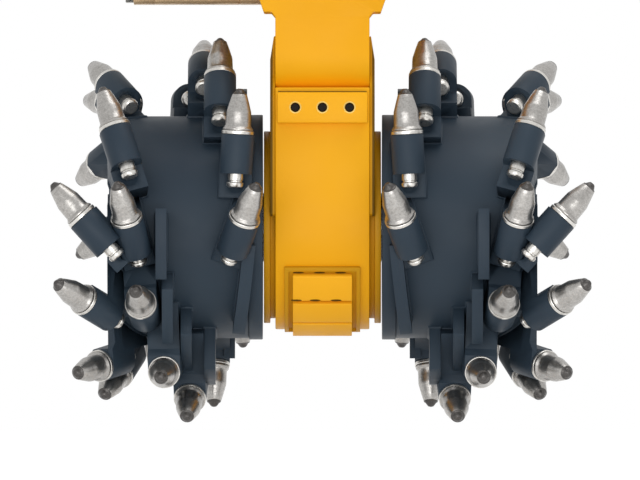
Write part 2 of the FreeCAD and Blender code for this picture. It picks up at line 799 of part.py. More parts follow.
def wear_slats():
    low = CASE_R + WEAR_BASE
    high = CASE_R + SLAT_HIGH
    return [arc_band(low, high, SLAT_X, -end, -start) for start, end in SLAT_ANGLES]


# Drums, drawn for the right-hand side

def drum_shell():
    shell = tube(DRUM_R, DRUM_BORE_R, DRUM_IN + INNER_PLATE, DRUM_OUT)
    ledge_out = DRUM_OUT - END_COVER_RECESS - END_COVER_THICK
    ledge = tube(DRUM_BORE_R, END_LEDGE_R, ledge_out - END_LEDGE, ledge_out)
    return shell.fuse(ledge).removeSplitter()


def drum_inner_plate():
    return tube(INNER_PLATE_R, INNER_PLATE_BORE_R, DRUM_IN, DRUM_IN + INNER_PLATE)


def drum_web():
    web = tube(DRUM_BORE_R, HUB_SPLINE_R + 18, HUB_FACE, WEB_OUT)
    for y, z in ring_places(HUB_BOLTS, HUB_BOLT_CIRCLE_R):
        web = web.cut(peg_x(HUB_BOLT_R, HUB_FACE - 1, WEB_OUT + 1, y, z))
    return web


def end_cover():
    """Cover in the mouth of the drum, with a low round boss in the middle."""
    out = DRUM_OUT - END_COVER_RECESS
    inside = out - END_COVER_THICK
    return revolve_x([
        (inside, 0), (inside, DRUM_BORE_R - RUN_GAP), (out, DRUM_BORE_R - RUN_GAP),
        (out, END_BOSS_R + 6), (out + 5, END_BOSS_R), (out + 5, 0)])


def flight(x, phase_from, phase_to, high, thick, skew):
    """A flat arc plate standing on the shell; a skewed one turns about its middle."""
    sink = FLIGHT_SINK if skew else 0
    plate = arc_band(DRUM_R - sink, DRUM_R + high, thick / 2.0, phase_from, phase_to)
    if skew:
        turn = math.radians((phase_from + phase_to) / 2.0)
        plate.rotate(Vector(0, 0, 0), yz(-math.cos(turn), math.sin(turn)), skew)
    plate.translate(Vector(-x, 0, 0))
    return plate


# Picks and their holders, drawn for the left-hand drum

def pick_frame(x, phase, high, splay, attack):
    """Face centre of a holder, the way its pick points, and the way up from the drum."""
    turn = math.radians(phase)
    lean = math.radians(attack)
    side = math.radians(splay)
    radial = yz(-math.cos(turn), math.sin(turn))
    tangent = yz(math.sin(turn), math.cos(turn))
    face = radial * (DRUM_R + high) + Vector(-x, 0, 0)
    along = (tangent * math.cos(lean) + radial * math.sin(lean)) * math.cos(side)
    along = along + Vector(-math.sin(side), 0, 0)
    sleeve_middle = face - along * (HOLDER_LENGTH / 2.0)
    reach = max(DRUM_IN + 24, min(DRUM_OUT - 16, abs(sleeve_middle.x)))
    foot_turn = math.atan2(sleeve_middle.z, -sleeve_middle.y)
    anchor = yz(-math.cos(foot_turn), math.sin(foot_turn)) * (DRUM_R - 12)
    anchor = anchor + Vector(-reach, 0, 0)
    up = sleeve_middle - anchor
    up = up - along * up.dot(along)
    up.normalize()
    return face, along, up


def placed_on(frame, shape):
    """Local Z runs along the pick and local Y away from the drum."""
    face, along, up = frame
    across = up.cross(along)
    piece = shape.copy()
    piece.Placement = Placement(face, Rotation(across, up, along, "ZYX"))
    return piece


def sleeve():
    """The part of a holder round the shank, with its flats square to the foot."""
    reach = HOLDER_R / math.cos(math.pi / SMALL_SIDES)
    corners = []
    for index in range(SMALL_SIDES):
        angle = math.pi * (2 * index + 1) / SMALL_SIDES
        corners.append(Vector(reach * math.cos(angle), reach * math.sin(angle), -HOLDER_LENGTH))
    outline = Part.makePolygon(corners + corners[:1])
    return Part.Face(outline).extrude(Vector(0, 0, HOLDER_LENGTH))


def foot():
    """Foot under the sleeve with its chin cut back, and the heel behind it."""
    block = box(-HOLDER_R, HOLDER_R, -FOOT_DEPTH, 0, -HOLDER_LENGTH, 0)
    chin = [(-HOLDER_R, 0), (-HOLDER_R - CHIN, -CHIN), (-FOOT_DEPTH - 1, -CHIN),
            (-FOOT_DEPTH - 1, 1), (-HOLDER_R, 1), (-HOLDER_R, 0)]
    wedge = Part.Face(Part.makePolygon([Vector(-HOLDER_R - 1, y, z) for y, z in chin]))
    block = block.cut(wedge.extrude(Vector(2 * HOLDER_R + 2, 0, 0)))
    heel = box(-HOLDER_R, HOLDER_R, -FOOT_DEPTH, -HEEL_TOP,
               -HOLDER_LENGTH - HEEL_LENGTH, -HOLDER_LENGTH)
    return block.fuse(heel).removeSplitter()


def pick_steel():
    """Head, cone and shank of a pick; the shank runs through its holder."""
    return turned([
        (SHANK_R, -SHANK_END), (SHANK_R, 0), (PICK_R, 0), (PICK_CONE_R, CONE_AT),
        (CAP_R + 0.6, CAP_BASE_AT)])


def pick_cap():
    return turned([(CAP_R, CAP_BASE_AT), (3, TIP_AT)])


def pick_room():
    """The space kept free round a pick where another piece passes it."""
    return turned([
        (SHANK_R + 1, -SHANK_END - 1), (SHANK_R + 1, -1), (PICK_R + 1, -1),
        (PICK_R + 1, CONE_AT), (CAP_R + 2, TIP_AT + 1)])


def set_round(blank):
    return [placed_on(pick_frame(*row), blank) for row in LACING]


def cleared(piece, others):
    """What is left of a piece beside the others, without loose crumbs."""
    for other in others:
        if piece.BoundBox.intersect(other.BoundBox):
            piece = piece.cut(other)
    return [solid for solid in piece.Solids if solid.Volume > SMALLEST_CRUMB]


def drum_block():
    """Everything that the feet and flights stand on, and the gap beside the gear case."""
    drum = disc(DRUM_R, -DRUM_OUT, -DRUM_IN)
    mouth = disc(DRUM_R - RIM_SEAT, -2 * DRUM_OUT, -DRUM_OUT + 1)
    plate = disc(INNER_PLATE_R, -DRUM_IN - INNER_PLATE, -DRUM_IN)
    gap = disc(2 * DRUM_R, -DRUM_IN, 0)
    return drum.fuse([mouth, plate, gap])


def holders(rooms):
    """The feet are cut to the drum, to the feet beside them and to the picks that pass."""
    ring = sleeve()
    base = foot()
    bore = peg(SHANK_R + RUN_GAP, -HOLDER_LENGTH - 1, 1)
    beyond = box(-2 * DRUM_OUT, -DRUM_OUT - FOOT_OVERHANG, -2 * DRUM_R, 2 * DRUM_R,
                 -2 * DRUM_R, 2 * DRUM_R)
    block = drum_block()
    pieces = []
    for index, row in enumerate(LACING):
        passing = rooms[:index] + rooms[index + 1:]
        frame = pick_frame(*row)
        holder = placed_on(frame, ring).fuse(placed_on(frame, base).cut(beyond))
        holder = holder.removeSplitter().cut(placed_on(frame, bore))
        solids = cleared(holder, [block] + passing + pieces)
        pieces.append(max(solids, key=lambda solid: solid.Volume))
    return pieces


def flights(rooms, feet):
    block = drum_block()
    pieces = []
    for row in FLIGHTS:
        pieces += cleared(flight(*row), [block] + rooms + feet + pieces)
    return pieces


# Output

def save(name, pieces):
    """Lowers the pieces from the drum axis to the flange origin and writes them."""
    group = pieces if isinstance(pieces, list) else [pieces]
    shape = group[0] if len(group) == 1 else Part.makeCompound(group)
    shape = shape.copy()
    shape.translate(Vector(0, 0, -FLANGE_RISE))
    if not shape.isValid():
        print("not valid:", name)
    shape.exportStep("parts/" + name + ".step")


def each(pieces):
    return [mirrored(piece) for piece in pieces]


os.makedirs("parts", exist_ok=True)

save("gear_case", gear_case())
save("case_cover", case_cover())
save("side_plate_right", side_plate())
carrier = bearing_carrier()
save("bearing_carrier_left", mirrored(carrier))
save("bearing_carrier_right", carrier)
save("oil_plugs", oil_plugs())
save("neck_plate_front", neck_plate())
save("neck_plate_rear", neck_plate().mirror(Vector(0, 0, 0), Vector(0, 1, 0)))
save("carrier_flange", carrier_flange())
save("front_bar", front_bar())
save("wear_frame", wear_frame())
save("wear_slats", wear_slats())

bearing_out = BEARING_IN + BEARING_WIDTH
pitch, roller = main_bearing_sizes()
save("main_bearing_cups", both_sides(bearing_cups(BEARING_OUT_R, roller, pitch, BEARING_IN, bearing_out)))
save("main_bearing_cones", both_sides(bearing_cones(SHAFT_R, roller, pitch, BEARING_IN, bearing_out)))
save("main_bearing_rollers", main_bearing_rollers())
seal = tube(SEAL_OUT_R, SHAFT_R + RUN_GAP, bearing_out + 0.5, bearing_out + 0.5 + SEAL_WIDTH)
save("shaft_seals", both_sides(seal))
save("output_shaft", output_shaft())
save("shaft_spacer", tube(SHAFT_COLLAR_R, SHAFT_R, -BEARING_IN, -GEAR_WIDTH / 2.0))
save("output_gear", output_gear())
save("output_gear_key", key_block())
save("idler_gear", idler_gear())
bush_r = IDLER_PIN_R + IDLER_BUSH_WALL
half_gear = GEAR_WIDTH / 2.0
save("idler_bush", tube(bush_r, IDLER_PIN_R + RUNNING_FIT, -half_gear, half_gear, IDLER_Z))
save("idler_pin", disc(IDLER_PIN_R, -CASE_HALF, CASE_HALF, IDLER_Z))
save("drive_pinion", pinion())
pitch, roller = pinion_roller_sizes()
bearing_in = CASE_HALF - PINION_BEARING_WIDTH
save("pinion_bearing_cups", both_sides(
    bearing_cups(PINION_BEARING_R, roller, pitch, bearing_in, CASE_HALF, PINION_Z)))
save("pinion_bearing_rollers", pinion_rollers())
save("pinion_cap", pinion_cap())
save("motor_plate", motor_plate())
save("motor_front_cover", motor_front_cover())
save("motor_body", motor_body())
save("motor_end_cover", motor_end_cover())
save("motor_shaft", motor_shaft())
save("motor_driven_gear", motor_driven_gear())
save("motor_bolts", motor_bolts())
save("motor_port_fittings", port_fittings())

save("shaft_hubs", both_sides(shaft_hub()))
save("hub_retainers", both_sides(hub_retainer()))
bolts = hub_bolts()
save("hub_bolts", bolts + each(bolts))
save("drum_webs", both_sides(drum_web()))
save("drum_shell_left", mirrored(drum_shell()))
save("drum_shell_right", drum_shell())
save("drum_inner_plates", both_sides(drum_inner_plate()))
save("end_cover_left", mirrored(end_cover()))
save("end_cover_right", end_cover())
rooms = set_round(pick_room())
blocks = holders(rooms)
plates = flights(rooms, blocks)
save("flights_left", plates)
save("flights_right", each(plates))
save("pick_holders_left", blocks)
save("pick_holders_right", each(blocks))
steel = set_round(pick_steel())
save("pick_bodies_left", steel)
save("pick_bodies_right", each(steel))
caps = set_round(pick_cap())
save("pick_tips_left", caps)
save("pick_tips_right", each(caps))
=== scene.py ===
# %% [markdown]
# # A hydraulic drum cutter, dressed for a product picture
#
# The machine hangs on the arm of an excavator. Two dark drums full of steel picks turn beside a
# narrow yellow gear case. The solids come packed with their joints, and this lesson gives them
# the rounded edges, turned picks, screws and finishes of the real machine. Lengths are in metres.

# %% Load the solids, and read the box of one when asked
import json
import math

import bmesh
import bpy
from mathutils import Matrix, Vector

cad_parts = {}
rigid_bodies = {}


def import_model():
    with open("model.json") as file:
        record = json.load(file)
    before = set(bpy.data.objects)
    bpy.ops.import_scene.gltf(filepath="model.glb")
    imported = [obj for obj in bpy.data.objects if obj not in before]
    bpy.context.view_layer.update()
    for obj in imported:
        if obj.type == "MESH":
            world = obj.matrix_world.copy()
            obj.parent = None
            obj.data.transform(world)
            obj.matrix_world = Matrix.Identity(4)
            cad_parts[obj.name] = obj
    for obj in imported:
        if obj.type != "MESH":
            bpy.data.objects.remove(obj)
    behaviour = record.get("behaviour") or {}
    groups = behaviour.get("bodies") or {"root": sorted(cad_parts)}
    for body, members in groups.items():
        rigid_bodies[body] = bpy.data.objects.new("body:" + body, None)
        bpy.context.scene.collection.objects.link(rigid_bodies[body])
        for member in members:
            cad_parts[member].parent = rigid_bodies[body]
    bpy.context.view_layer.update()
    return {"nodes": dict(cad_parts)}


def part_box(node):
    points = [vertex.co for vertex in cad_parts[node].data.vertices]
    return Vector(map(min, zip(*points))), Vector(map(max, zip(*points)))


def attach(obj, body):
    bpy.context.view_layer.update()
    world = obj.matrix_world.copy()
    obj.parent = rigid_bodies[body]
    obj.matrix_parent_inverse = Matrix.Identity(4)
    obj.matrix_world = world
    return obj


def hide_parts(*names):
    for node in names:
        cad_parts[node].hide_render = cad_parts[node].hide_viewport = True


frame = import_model()

# %% [markdown]
# ## The camera
#
# The picture was taken from straight in front, from so far away that nothing shrinks with
# distance. A long lens at thirty metres does the same. The lens follows from the width that the
# picture covers. The camera stands a little lower than the drum shaft and a few millimetres left
# of the middle.

# %% Camera
SHAFT_Z = -0.520
CAMERA_FAR = 30.0
CAMERA_ASIDE = -0.0035
CAMERA_BELOW_SHAFT = 0.0187
PICTURE_WIDTH = 0.9344
SENSOR_MM = 36.0

camera_data = bpy.data.cameras.new("picture_camera")
camera_data.sensor_width = SENSOR_MM
camera_data.lens = SENSOR_MM * CAMERA_FAR / PICTURE_WIDTH
camera_data.clip_start = 1.0
camera_data.clip_end = 200.0
camera = bpy.data.objects.new("picture_camera", camera_data)
camera.location = (CAMERA_ASIDE, -CAMERA_FAR, SHAFT_Z - CAMERA_BELOW_SHAFT)
camera.rotation_euler = (math.radians(90), 0, 0)
bpy.context.scene.collection.objects.link(camera)
bpy.context.scene.camera = camera
print("lens of", round(camera_data.lens), "mm")

# %% [markdown]
# ## Small tools for the bench
#
# Operators act on everything that is selected, so each step starts by letting go of all that is
# held. A finished piece keeps its object at the origin, with its place in its mesh, like the
# solids do.

# %% Selecting, copying and joining
def let_go():
    bpy.ops.object.select_all(action="DESELECT")


def take(piece):
    """Selects one piece alone and makes it the active one."""
    let_go()
    piece.select_set(True)
    bpy.context.view_layer.objects.active = piece


def name_new(name):
    """The piece that was just added, with its place moved into its mesh."""
    piece = bpy.context.object
    piece.name = name
    piece.data.name = name
    bpy.ops.object.transform_apply(location=True, rotation=True, scale=True)
    return piece


def copy_of(piece, name, place=None):
    """A second piece with its own mesh, moved there if a place is given."""
    twin = bpy.data.objects.new(name, piece.data.copy())
    bpy.context.scene.collection.objects.link(twin)
    if place is not None:
        twin.data.transform(place)
    return twin


def joined(name, pieces):
    """Makes one piece of several."""
    let_go()
    for piece in pieces:
        piece.select_set(True)
    bpy.context.view_layer.objects.active = pieces[0]
    bpy.ops.object.join()
    pieces[0].name = name
    return pieces[0]


# %% Modifiers and smooth shading
def apply_modifier(piece, kind, **settings):
    take(piece)
    modifier = piece.modifiers.new(kind.lower(), kind)
    for key, value in settings.items():
        setattr(modifier, key, value)
    bpy.ops.object.modifier_apply(modifier=modifier.name)
    return piece


def smooth(piece, angle=32):
    """Shades a piece smoothly over every edge that is flatter than the angle."""
    take(piece)
    bpy.ops.object.shade_smooth_by_angle(angle=math.radians(angle))
    return piece


# %% [markdown]
# A solid arrives as loose triangles. A copy is merged, its flat faces are dissolved into single
# ones, and then a bevel modifier can round its edges by a millimetre or two, as a casting's or a
# flame-cut plate's edges are. The rounded copy is painted, rides on the body of its solid and
# stands in its place.

# %% A rounded copy of a solid
MERGE_GAP = 0.00001
FLAT_ANGLE = math.radians(0.5)
EDGE_ANGLE = math.radians(33)


def open_merged(piece):
    """Opens a piece in edit mode, all selected, with its doubled corners merged."""
    take(piece)
    bpy.ops.object.mode_set(mode="EDIT")
    bpy.ops.mesh.select_all(action="SELECT")
    bpy.ops.mesh.remove_doubles(threshold=MERGE_GAP)


def rounded_copy(node, name, width):
    piece = copy_of(frame["nodes"][node], name)
    piece.data.materials.clear()
    open_merged(piece)
    bpy.ops.mesh.dissolve_limited(angle_limit=FLAT_ANGLE)
    bpy.ops.object.mode_set(mode="OBJECT")
    apply_modifier(piece, "BEVEL", width=width, segments=2, limit_method="ANGLE",
                   angle_limit=EDGE_ANGLE, miter_outer="MITER_ARC")
    return smooth(piece)


def mount(piece, body, slot, material, *stands_for):
    """Paints a finished piece and lets it move with its body."""
    piece.data.materials.clear()
    piece.data.materials.append(material)
    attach(piece, body)
    if stands_for:
        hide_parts(*stands_for)


def dress(node, ending, width, body, slot, material):
    """Puts a rounded and painted copy in the place of a solid."""
    piece = rounded_copy(node, node + ending, width)
    mount(piece, body, slot, material, node)
    print(piece.name, len(piece.data.polygons), "faces")


# %% [markdown]
# ## Finishes
#
# Two effects come back in many finishes, so each is a node group: the skin of sprayed paint, with
# its faint unevenness, and the grain that a tool leaves on bare metal. Both are given a place on
# the piece. That is the Object coordinates, or for the picks a place that their mesh remembers, so
# the marks stay put when a piece moves.

# %% Node helpers
def plug(tree, value, socket):
    """Links what comes from a node, and sets a plain value."""
    if isinstance(value, bpy.types.NodeSocket):
        tree.links.new(value, socket)
    else:
        socket.default_value = value


def noise(tree, place, scale, detail, rough=0.5):
    node = tree.nodes.new("ShaderNodeTexNoise")
    for label, value in (("Vector", place), ("Scale", scale), ("Detail", detail),
                         ("Roughness", rough)):
        plug(tree, value, node.inputs[label])
    return node.outputs["Fac"]


def spread(tree, value, low, high, amount_low=0.0, amount_high=1.0):
    """Goes from one amount to the other while the value goes from low to high."""
    node = tree.nodes.new("ShaderNodeMapRange")
    for label, given in (("Value", value), ("From Min", low), ("From Max", high),
                         ("To Min", amount_low), ("To Max", amount_high)):
        plug(tree, given, node.inputs[label])
    return node.outputs["Result"]


def counted(tree, operation, first, second=0.0):
    node = tree.nodes.new("ShaderNodeMath")
    node.operation = operation
    plug(tree, first, node.inputs[0])
    plug(tree, second, node.inputs[1])
    return node.outputs["Value"]


def blended(tree, share, first, second):
    """Mixes two colours, which a Mix node takes at its inputs 6 and 7 and gives at output 2."""
    node = tree.nodes.new("ShaderNodeMix")
    node.data_type = "RGBA"
    for index, value in ((0, share), (6, first), (7, second)):
        plug(tree, value, node.inputs[index])
    return node.outputs[2]


# %% An empty group with the sockets of a finish
GROUP_INPUTS = (
    ("Place", "NodeSocketVector", (0, 0, 0)), ("Light", "NodeSocketColor", (1, 1, 1, 1)),
    ("Deep", "NodeSocketColor", (0, 0, 0, 1)), ("Gloss Low", "NodeSocketFloat", 0.3),
    ("Gloss High", "NodeSocketFloat", 0.5))
GROUP_OUTPUTS = (("Colour", "NodeSocketColor"), ("Roughness", "NodeSocketFloat"),
                 ("Height", "NodeSocketFloat"))


def new_group(name, *more_inputs):
    group = bpy.data.node_groups.new(name, "ShaderNodeTree")
    for label, kind, value in GROUP_INPUTS + more_inputs:
        socket = group.interface.new_socket(label, in_out="INPUT", socket_type=kind)
        socket.default_value = value
    for label, kind in GROUP_OUTPUTS:
        group.interface.new_socket(label, in_out="OUTPUT", socket_type=kind)
    inside = group.nodes.new("NodeGroupInput")
    outside = group.nodes.new("NodeGroupOutput")
    return group, inside, outside


def give_out(group, outside, colour, rough, height):
    for label, value in (("Colour", colour), ("Roughness", rough), ("Height", height)):
        group.links.new(value, outside.inputs[label])
    print("made", group.name)


# %% [markdown]
# Sprayed paint is never one flat value. Its colour drifts a little over a hand's width, its gloss
# drifts too, and up close the surface has the faint waves that painters call orange peel.

# %% The skin of sprayed paint
def build_paint_skin():
    group, inside, outside = new_group("paint_skin")
    place, light, deep, gloss_low, gloss_high = list(inside.outputs)[:5]
    drift = noise(group, place, scale=5.0, detail=2.0)
    colour = blended(group, spread(group, drift, 0.35, 0.65), deep, light)
    cloud = noise(group, place, scale=18.0, detail=4.0)
    rough = spread(group, cloud, 0.3, 0.7, gloss_low, gloss_high)
    peel = noise(group, place, scale=900.0, detail=1.0)
    give_out(group, outside, colour, rough, peel)
    return group


paint_skin = build_paint_skin()

# %% [markdown]
# Bare metal keeps the marks of its last tool. Turning leaves fine rings and rolling leaves a
# cloudy skin, so the grain mixes a noise that is squeezed along Z with a round one.

# %% The grain of bare metal
def build_metal_grain():
    group, inside, outside = new_group("metal_grain", ("Fineness", "NodeSocketFloat", 1.0))
    place, light, deep, gloss_low, gloss_high, fineness = list(inside.outputs)[:6]
    squeeze = group.nodes.new("ShaderNodeVectorMath")
    squeeze.operation = "MULTIPLY"
    squeeze.inputs[1].default_value = (1.0, 1.0, 7.0)
    group.links.new(place, squeeze.inputs[0])
    finer = group.nodes.new("ShaderNodeVectorMath")
    finer.operation = "SCALE"
    group.links.new(squeeze.outputs["Vector"], finer.inputs[0])
    group.links.new(fineness, finer.inputs["Scale"])
    lines = noise(group, finer.outputs["Vector"], scale=160.0, detail=3.0, rough=0.6)
    specks = noise(group, place, scale=420.0, detail=3.0, rough=0.65)
    mixed = counted(group, "MULTIPLY", counted(group, "ADD", lines, specks), 0.5)
    colour = blended(group, spread(group, mixed, 0.38, 0.62), deep, light)
    rough = spread(group, mixed, 0.35, 0.65, gloss_high, gloss_low)
    give_out(group, outside, colour, rough, mixed)
    return group


metal_grain = build_metal_grain()

# %% [markdown]
# Each finish is one material around a Principled shader. What is the same all over, such as how
# metallic it is, is set straight on the shader, and only what changes over the surface comes
# through the groups. Light and deep are the two colours that the surface drifts between, gloss is
# the range of its roughness, and bump and wave are the strength and height of its relief.

# %% A finish from a group
def finish_from(name, group, light, deep, gloss, bump, wave, fineness=1.0, attribute=None,
                **plain):
    material = bpy.data.materials.new(name)
    material.use_nodes = True
    tree = material.node_tree
    shader = tree.nodes["Principled BSDF"]
    effect = tree.nodes.new("ShaderNodeGroup")
    effect.node_tree = group
    source = tree.nodes.new("ShaderNodeAttribute" if attribute else "ShaderNodeTexCoord")
    if attribute:
        source.attribute_name = attribute
    place = source.outputs["Vector" if attribute else "Object"]
    for label, value in (("Place", place), ("Light", (*light, 1)), ("Deep", (*deep, 1)),
                         ("Gloss Low", gloss[0]), ("Gloss High", gloss[1]),
                         ("Fineness", fineness)):
        if label in effect.inputs:
            plug(tree, value, effect.inputs[label])
    relief = tree.nodes.new("ShaderNodeBump")
    for label, value in (("Strength", bump), ("Distance", wave),
                         ("Height", effect.outputs["Height"])):
        plug(tree, value, relief.inputs[label])
    for label, value in (("Base Color", effect.outputs["Colour"]),
                         ("Roughness", effect.outputs["Roughness"]),
                         ("Normal", relief.outputs["Normal"])):
        tree.links.new(value, shader.inputs[label])
    for label, value in plain.items():
        shader.inputs[label.replace("_", " ")].default_value = value
    return material


# %% [markdown]
# The yellow paint of the case is a warm orange yellow with a low gloss. The side plates and the
# bearing carriers beside the drums, and the edges of the wear frame, get a deeper yellow: painted
# shade. The wear slats get a brighter yellow: painted light from below. The drums have a satin
# blue-grey paint.

# %% Paints
YELLOW = finish_from("yellow_paint", paint_skin, light=(0.91, 0.43, 0.006),
                     deep=(0.87, 0.395, 0.005), gloss=(0.38, 0.5), bump=0.12, wave=0.0002,
                     Specular_IOR_Level=0.14)
# A brighter yellow for the wear slats: painted light that falls on them from below and in front.
LIT_YELLOW = finish_from("yellow_paint_with_painted_light", paint_skin, light=(0.99, 0.475, 0.014),
                           deep=(0.96, 0.455, 0.012), gloss=(0.38, 0.5), bump=0.12,
                           wave=0.0002, Specular_IOR_Level=0.2)
# A deeper yellow for the bearing carriers and the wear frame: painted shade that falls on the
# carriers between the drums and on the edges of the frame.
RING_SHADE_YELLOW = finish_from("yellow_paint_shaded_for_the_rings", paint_skin, light=(0.62, 0.30, 0.005),
                          deep=(0.56, 0.27, 0.004), gloss=(0.4, 0.52), bump=0.12, wave=0.0002,
                          Specular_IOR_Level=0.15)
# A deeper yellow for the side plates: painted shade of the drums beside them.
SIDE_SHADE_YELLOW = finish_from("yellow_paint_shaded_for_the_sides", paint_skin, light=(0.60, 0.285, 0.004),
                          deep=(0.54, 0.255, 0.003), gloss=(0.4, 0.52), bump=0.12, wave=0.0002,
                          Specular_IOR_Level=0.1)
# A dark brown for the tack welds, and for the painted shadow strip above the front bar.
DARK_WELD_AND_SHADOW = finish_from("dark_welds_and_painted_shadow", paint_skin, light=(0.17, 0.088, 0.010),
                    deep=(0.10, 0.050, 0.006), gloss=(0.6, 0.75), bump=0.4, wave=0.0003,
                    Specular_IOR_Level=0.05)
# A paler yellow for the countersinks: a painted highlight.
HIGHLIGHT_YELLOW = finish_from("painted_highlight_yellow", paint_skin, light=(0.98, 0.72, 0.22),
                          deep=(0.95, 0.62, 0.14), gloss=(0.3, 0.4), bump=0.05, wave=0.0001)
DARK = finish_from("blue_grey_paint", paint_skin, light=(0.027, 0.043, 0.061),
                   deep=(0.020, 0.033, 0.049), gloss=(0.45, 0.58), bump=0.15, wave=0.0002,
                   Specular_IOR_Level=0.22)
RUBBER = finish_from("seal_rubber", paint_skin, light=(0.045, 0.045, 0.045),
                     deep=(0.03, 0.03, 0.03), gloss=(0.6, 0.75), bump=0.2, wave=0.0002)
print("made", len(bpy.data.materials), "finishes")

# %% [markdown]
# The picks are turned steel, rubbed bright at the washers and shanks, with darker tips of
# carbide. The motor is a bare casting, its screws are zinc plated, and the screws on the drums
# are blackened.

# %% Metals
PICK_STEEL = finish_from("turned_pick_steel", metal_grain, light=(0.45, 0.435, 0.415),
                         deep=(0.28, 0.27, 0.255), gloss=(0.27, 0.40), bump=0.3, wave=0.0002,
                         attribute="pick_place", Metallic=0.95)
RUBBED_STEEL = finish_from("rubbed_steel", metal_grain, light=(0.68, 0.66, 0.62),
                           deep=(0.50, 0.485, 0.46), gloss=(0.25, 0.37), bump=0.15,
                           wave=0.0001, attribute="pick_place", Metallic=0.95)
CARBIDE = finish_from("carbide", metal_grain, light=(0.10, 0.095, 0.09),
                      deep=(0.055, 0.05, 0.048), gloss=(0.3, 0.45), bump=0.2, wave=0.0002,
                      fineness=1.5, attribute="pick_place", Metallic=0.7)
BLACK_STEEL = finish_from("blackened_steel", metal_grain, light=(0.016, 0.012, 0.008),
                          deep=(0.008, 0.006, 0.004), gloss=(0.45, 0.6), bump=0.15,
                          wave=0.0001, fineness=1.5, Metallic=0.2, Specular_IOR_Level=0.15)
CAST = finish_from("bare_casting", metal_grain, light=(0.70, 0.50, 0.29),
                   deep=(0.54, 0.38, 0.22), gloss=(0.35, 0.5), bump=0.35, wave=0.0003,
                   fineness=0.5, Metallic=0.5)
PLATED = finish_from("zinc_plated", metal_grain, light=(0.68, 0.67, 0.62),
                     deep=(0.55, 0.54, 0.50), gloss=(0.25, 0.4), bump=0.1, wave=0.0001,
                     fineness=1.5, Metallic=0.9)
MACHINED = finish_from("machined_steel", metal_grain, light=(0.68, 0.68, 0.68),
                       deep=(0.58, 0.58, 0.59), gloss=(0.22, 0.34), bump=0.1, wave=0.0001,
                       fineness=2.0, Metallic=0.95)
BRONZE = finish_from("bronze", metal_grain, light=(0.75, 0.55, 0.27), deep=(0.62, 0.43, 0.2),
                     gloss=(0.25, 0.4), bump=0.1, wave=0.0001, fineness=2.0, Metallic=0.95)
print("now", len(bpy.data.materials), "finishes")

# %% [markdown]
# The side plates, of which the left one is the cover of the case, stand close to the turning
# drums. Their outer edges lie in the shade of the drums, and that shade is painted on: their
# paint turns dark brown over the outer four millimetres. The distance from the middle of the
# machine is the X of the Object coordinates without its sign. The flat outer faces get no
# painted shade: there the X of the normal is nearly one, and that takes the brown away again.

# %% Painted shade on the outer edges of the side plates
# Painted shade of the drums: none up to the first distance from the middle, full from the second.
UNSHADED_TO = 0.0716
SHADED_FROM = 0.0730
EDGE_NORMAL_X = 0.8
FACE_NORMAL_X = 0.95
SHADE_BROWN = (0.14, 0.070, 0.004, 1)


def x_without_sign(tree, source):
    parts = tree.nodes.new("ShaderNodeSeparateXYZ")
    tree.links.new(source, parts.inputs["Vector"])
    return counted(tree, "ABSOLUTE", parts.outputs["X"])


# Paints the shade of the drums in brown over the outer edges of a paint.
def add_painted_edge_shade(material):
    tree = material.node_tree
    base_colour = tree.nodes["Principled BSDF"].inputs["Base Color"]
    paint = base_colour.links[0].from_socket
    source = tree.nodes.new("ShaderNodeTexCoord")
    outer = spread(tree, x_without_sign(tree, source.outputs["Object"]), UNSHADED_TO, SHADED_FROM)
    on_edge = spread(tree, x_without_sign(tree, source.outputs["Normal"]), EDGE_NORMAL_X,
                     FACE_NORMAL_X, 1.0, 0.0)
    shaded = counted(tree, "MULTIPLY", outer, on_edge)
    tree.links.new(blended(tree, shaded, paint, SHADE_BROWN), base_colour)


add_painted_edge_shade(SIDE_SHADE_YELLOW)
print("oily from", SHADED_FROM * 1000, "mm off the middle")

# %% [markdown]
# ## Case, neck and flange
#
# The yellow pieces are plates and castings whose edges are broken by a millimetre or so, which is
# what catches the light. A rounded copy of each solid does that and keeps every size. The number
# beside each name is the width of the broken edge.

# %% Yellow pieces
for node, width, material in (
        ("gear_case", 0.0016, YELLOW), ("case_cover", 0.0016, SIDE_SHADE_YELLOW),
        ("side_plate_right", 0.0016, SIDE_SHADE_YELLOW), ("bearing_carrier_left", 0.0012, RING_SHADE_YELLOW),
        ("bearing_carrier_right", 0.0012, RING_SHADE_YELLOW), ("neck_plate_front", 0.0012, YELLOW),
        ("neck_plate_rear", 0.0012, YELLOW), ("carrier_flange", 0.002, YELLOW),
        ("wear_frame", 0.0007, RING_SHADE_YELLOW), ("wear_slats", 0.0008, LIT_YELLOW),
        ("pinion_cap", 0.0015, YELLOW)):
    dress(node, "_painted", width, "housing", "housing_paint", material)

# %% [markdown]
# The front bar is a flat bar with broken edges, bolted on through three countersunk holes. It is
# modelled anew: a box at the size of the solid is bevelled first, and the holes and their
# countersinks are cut afterwards, so that no bevel runs across them.

# %% Blocks, and joining or cutting with another piece
def block(name, low, high, width=0.0, rings=2):
    """A box between two corners, its edges broken if a width is given."""
    let_go()
    centre = [(a + b) / 2 for a, b in zip(low, high)]
    sides = [b - a for a, b in zip(low, high)]
    bpy.ops.mesh.primitive_cube_add(size=1, location=centre, scale=sides)
    piece = name_new(name)
    if width:
        apply_modifier(piece, "BEVEL", width=width, segments=rings)
    return piece


def combine(piece, other, operation="DIFFERENCE"):
    """Cuts the other piece out, or adds it, and removes what is left of it."""
    apply_modifier(piece, "BOOLEAN", operation=operation, object=other, solver="EXACT")
    bpy.data.objects.remove(other)


# %% Front bar
BAR_EDGE = 0.0012
HOLE_PITCH = 0.0394
HOLE_R = 0.007
HOLE_Z = -0.3460
HOLE_CUT = 0.04
SINK_R = 0.0088
SINK_HIGH = 0.0026
SINK_IN = 0.0009
SINK_SLACK = 0.0004

